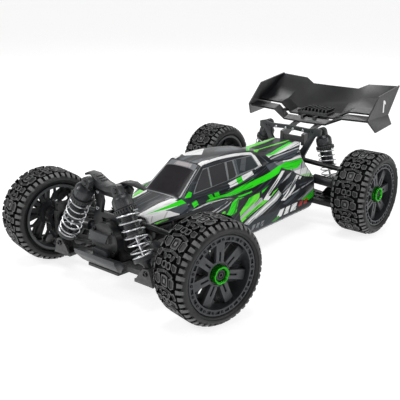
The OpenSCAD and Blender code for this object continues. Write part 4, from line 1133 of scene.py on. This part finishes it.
def camera():
    back = Vector(CAMERA_BACK).normalized()
    turn, roll = math.radians(CAMERA_TURN), math.radians(CAMERA_ROLL)
    level = Vector((math.cos(turn), math.sin(turn), 0))
    over = back.cross(level)
    right = level * math.cos(roll) + over * math.sin(roll)
    up = over * math.cos(roll) - level * math.sin(roll)
    data = bpy.data.cameras.new("camera")
    data.lens = LENS
    data.sensor_width = 36
    data.clip_start = 0.01
    turned_to = Matrix((right, up, back)).transposed().to_4x4()
    bpy.context.scene.camera = placed("camera", data, Matrix.Translation(CAMERA_AT) @ turned_to)


def area_light(name, at, aim, size, power):
    data = bpy.data.lights.new(name, "AREA")
    data.shape = "RECTANGLE"
    data.size, data.size_y = size
    data.energy = power
    placed(name, data, facing(*at, Vector(at) - Vector(aim)))


def studio():
    floor = placed("floor", bpy.data.meshes.new("floor"))
    half = 20.0
    corners = [(-half, -half, 0), (half, -half, 0), (half, half, 0), (-half, half, 0)]
    floor.data.from_pydata(corners, [], [(0, 1, 2, 3)])
    g = Graph("pale_floor")
    fade = g.span(g.noise(400.0, 2.0), 0.3, 0.7, 0.0, 1.0)
    tone = g.mix(fade, rgb((0.34, 0.34, 0.34)), rgb((0.36, 0.36, 0.36)))
    g.link(tone, g.shader.inputs["Base Color"])
    g.shader.inputs["Roughness"].default_value = 0.6
    g.shader.inputs["Specular IOR Level"].default_value = 0.1
    g.shader.inputs["Emission Color"].default_value = (1, 1, 1, 1)
    g.shader.inputs["Emission Strength"].default_value = 0.8
    floor.data.materials.append(g.material)
    world = bpy.data.worlds.new("studio")
    world.use_nodes = True
    tree = world.node_tree
    # white walls up to about 15 degrees above the floor, and a dimmer ceiling
    height = tree.nodes.new("ShaderNodeSeparateXYZ")
    tree.links.new(tree.nodes.new("ShaderNodeTexCoord").outputs["Generated"], height.inputs[0])
    fall = tree.nodes.new("ShaderNodeMapRange")
    for key, number in zip(RANGE_SOCKETS, (0.2, 0.45, 0.95, 0.2)):
        fall.inputs[key].default_value = number
    tree.links.new(height.outputs["Z"], fall.inputs["Value"])
    tree.links.new(fall.outputs["Result"], tree.nodes["Background"].inputs["Strength"])
    tree.nodes["Background"].inputs["Color"].default_value = (1, 1, 1, 1)
    bpy.context.scene.world = world
    area_light("overhead", (0.0, -0.1, 1.5), (0, 0, 0), (0.8, 0.8), 11)
    area_light("key", (-0.9, -1.1, 1.1), (0, -0.05, 0.08), (0.5, 0.5), 11)
    area_light("side", (1.4, 0.3, 0.8), (0, 0, 0.08), (0.5, 0.9), 7)
    area_light("back", (-0.9, 1.2, 1.3), (0, 0, 0.1), (0.9, 0.5), 6)
    bpy.context.scene.view_settings.view_transform = "Standard"


# -------------------------------------------------------------------- the scene

camera()
studio()
wheels()
shocks()
body_shell()
towers_and_wing()
running_gear()
inner_equipment()
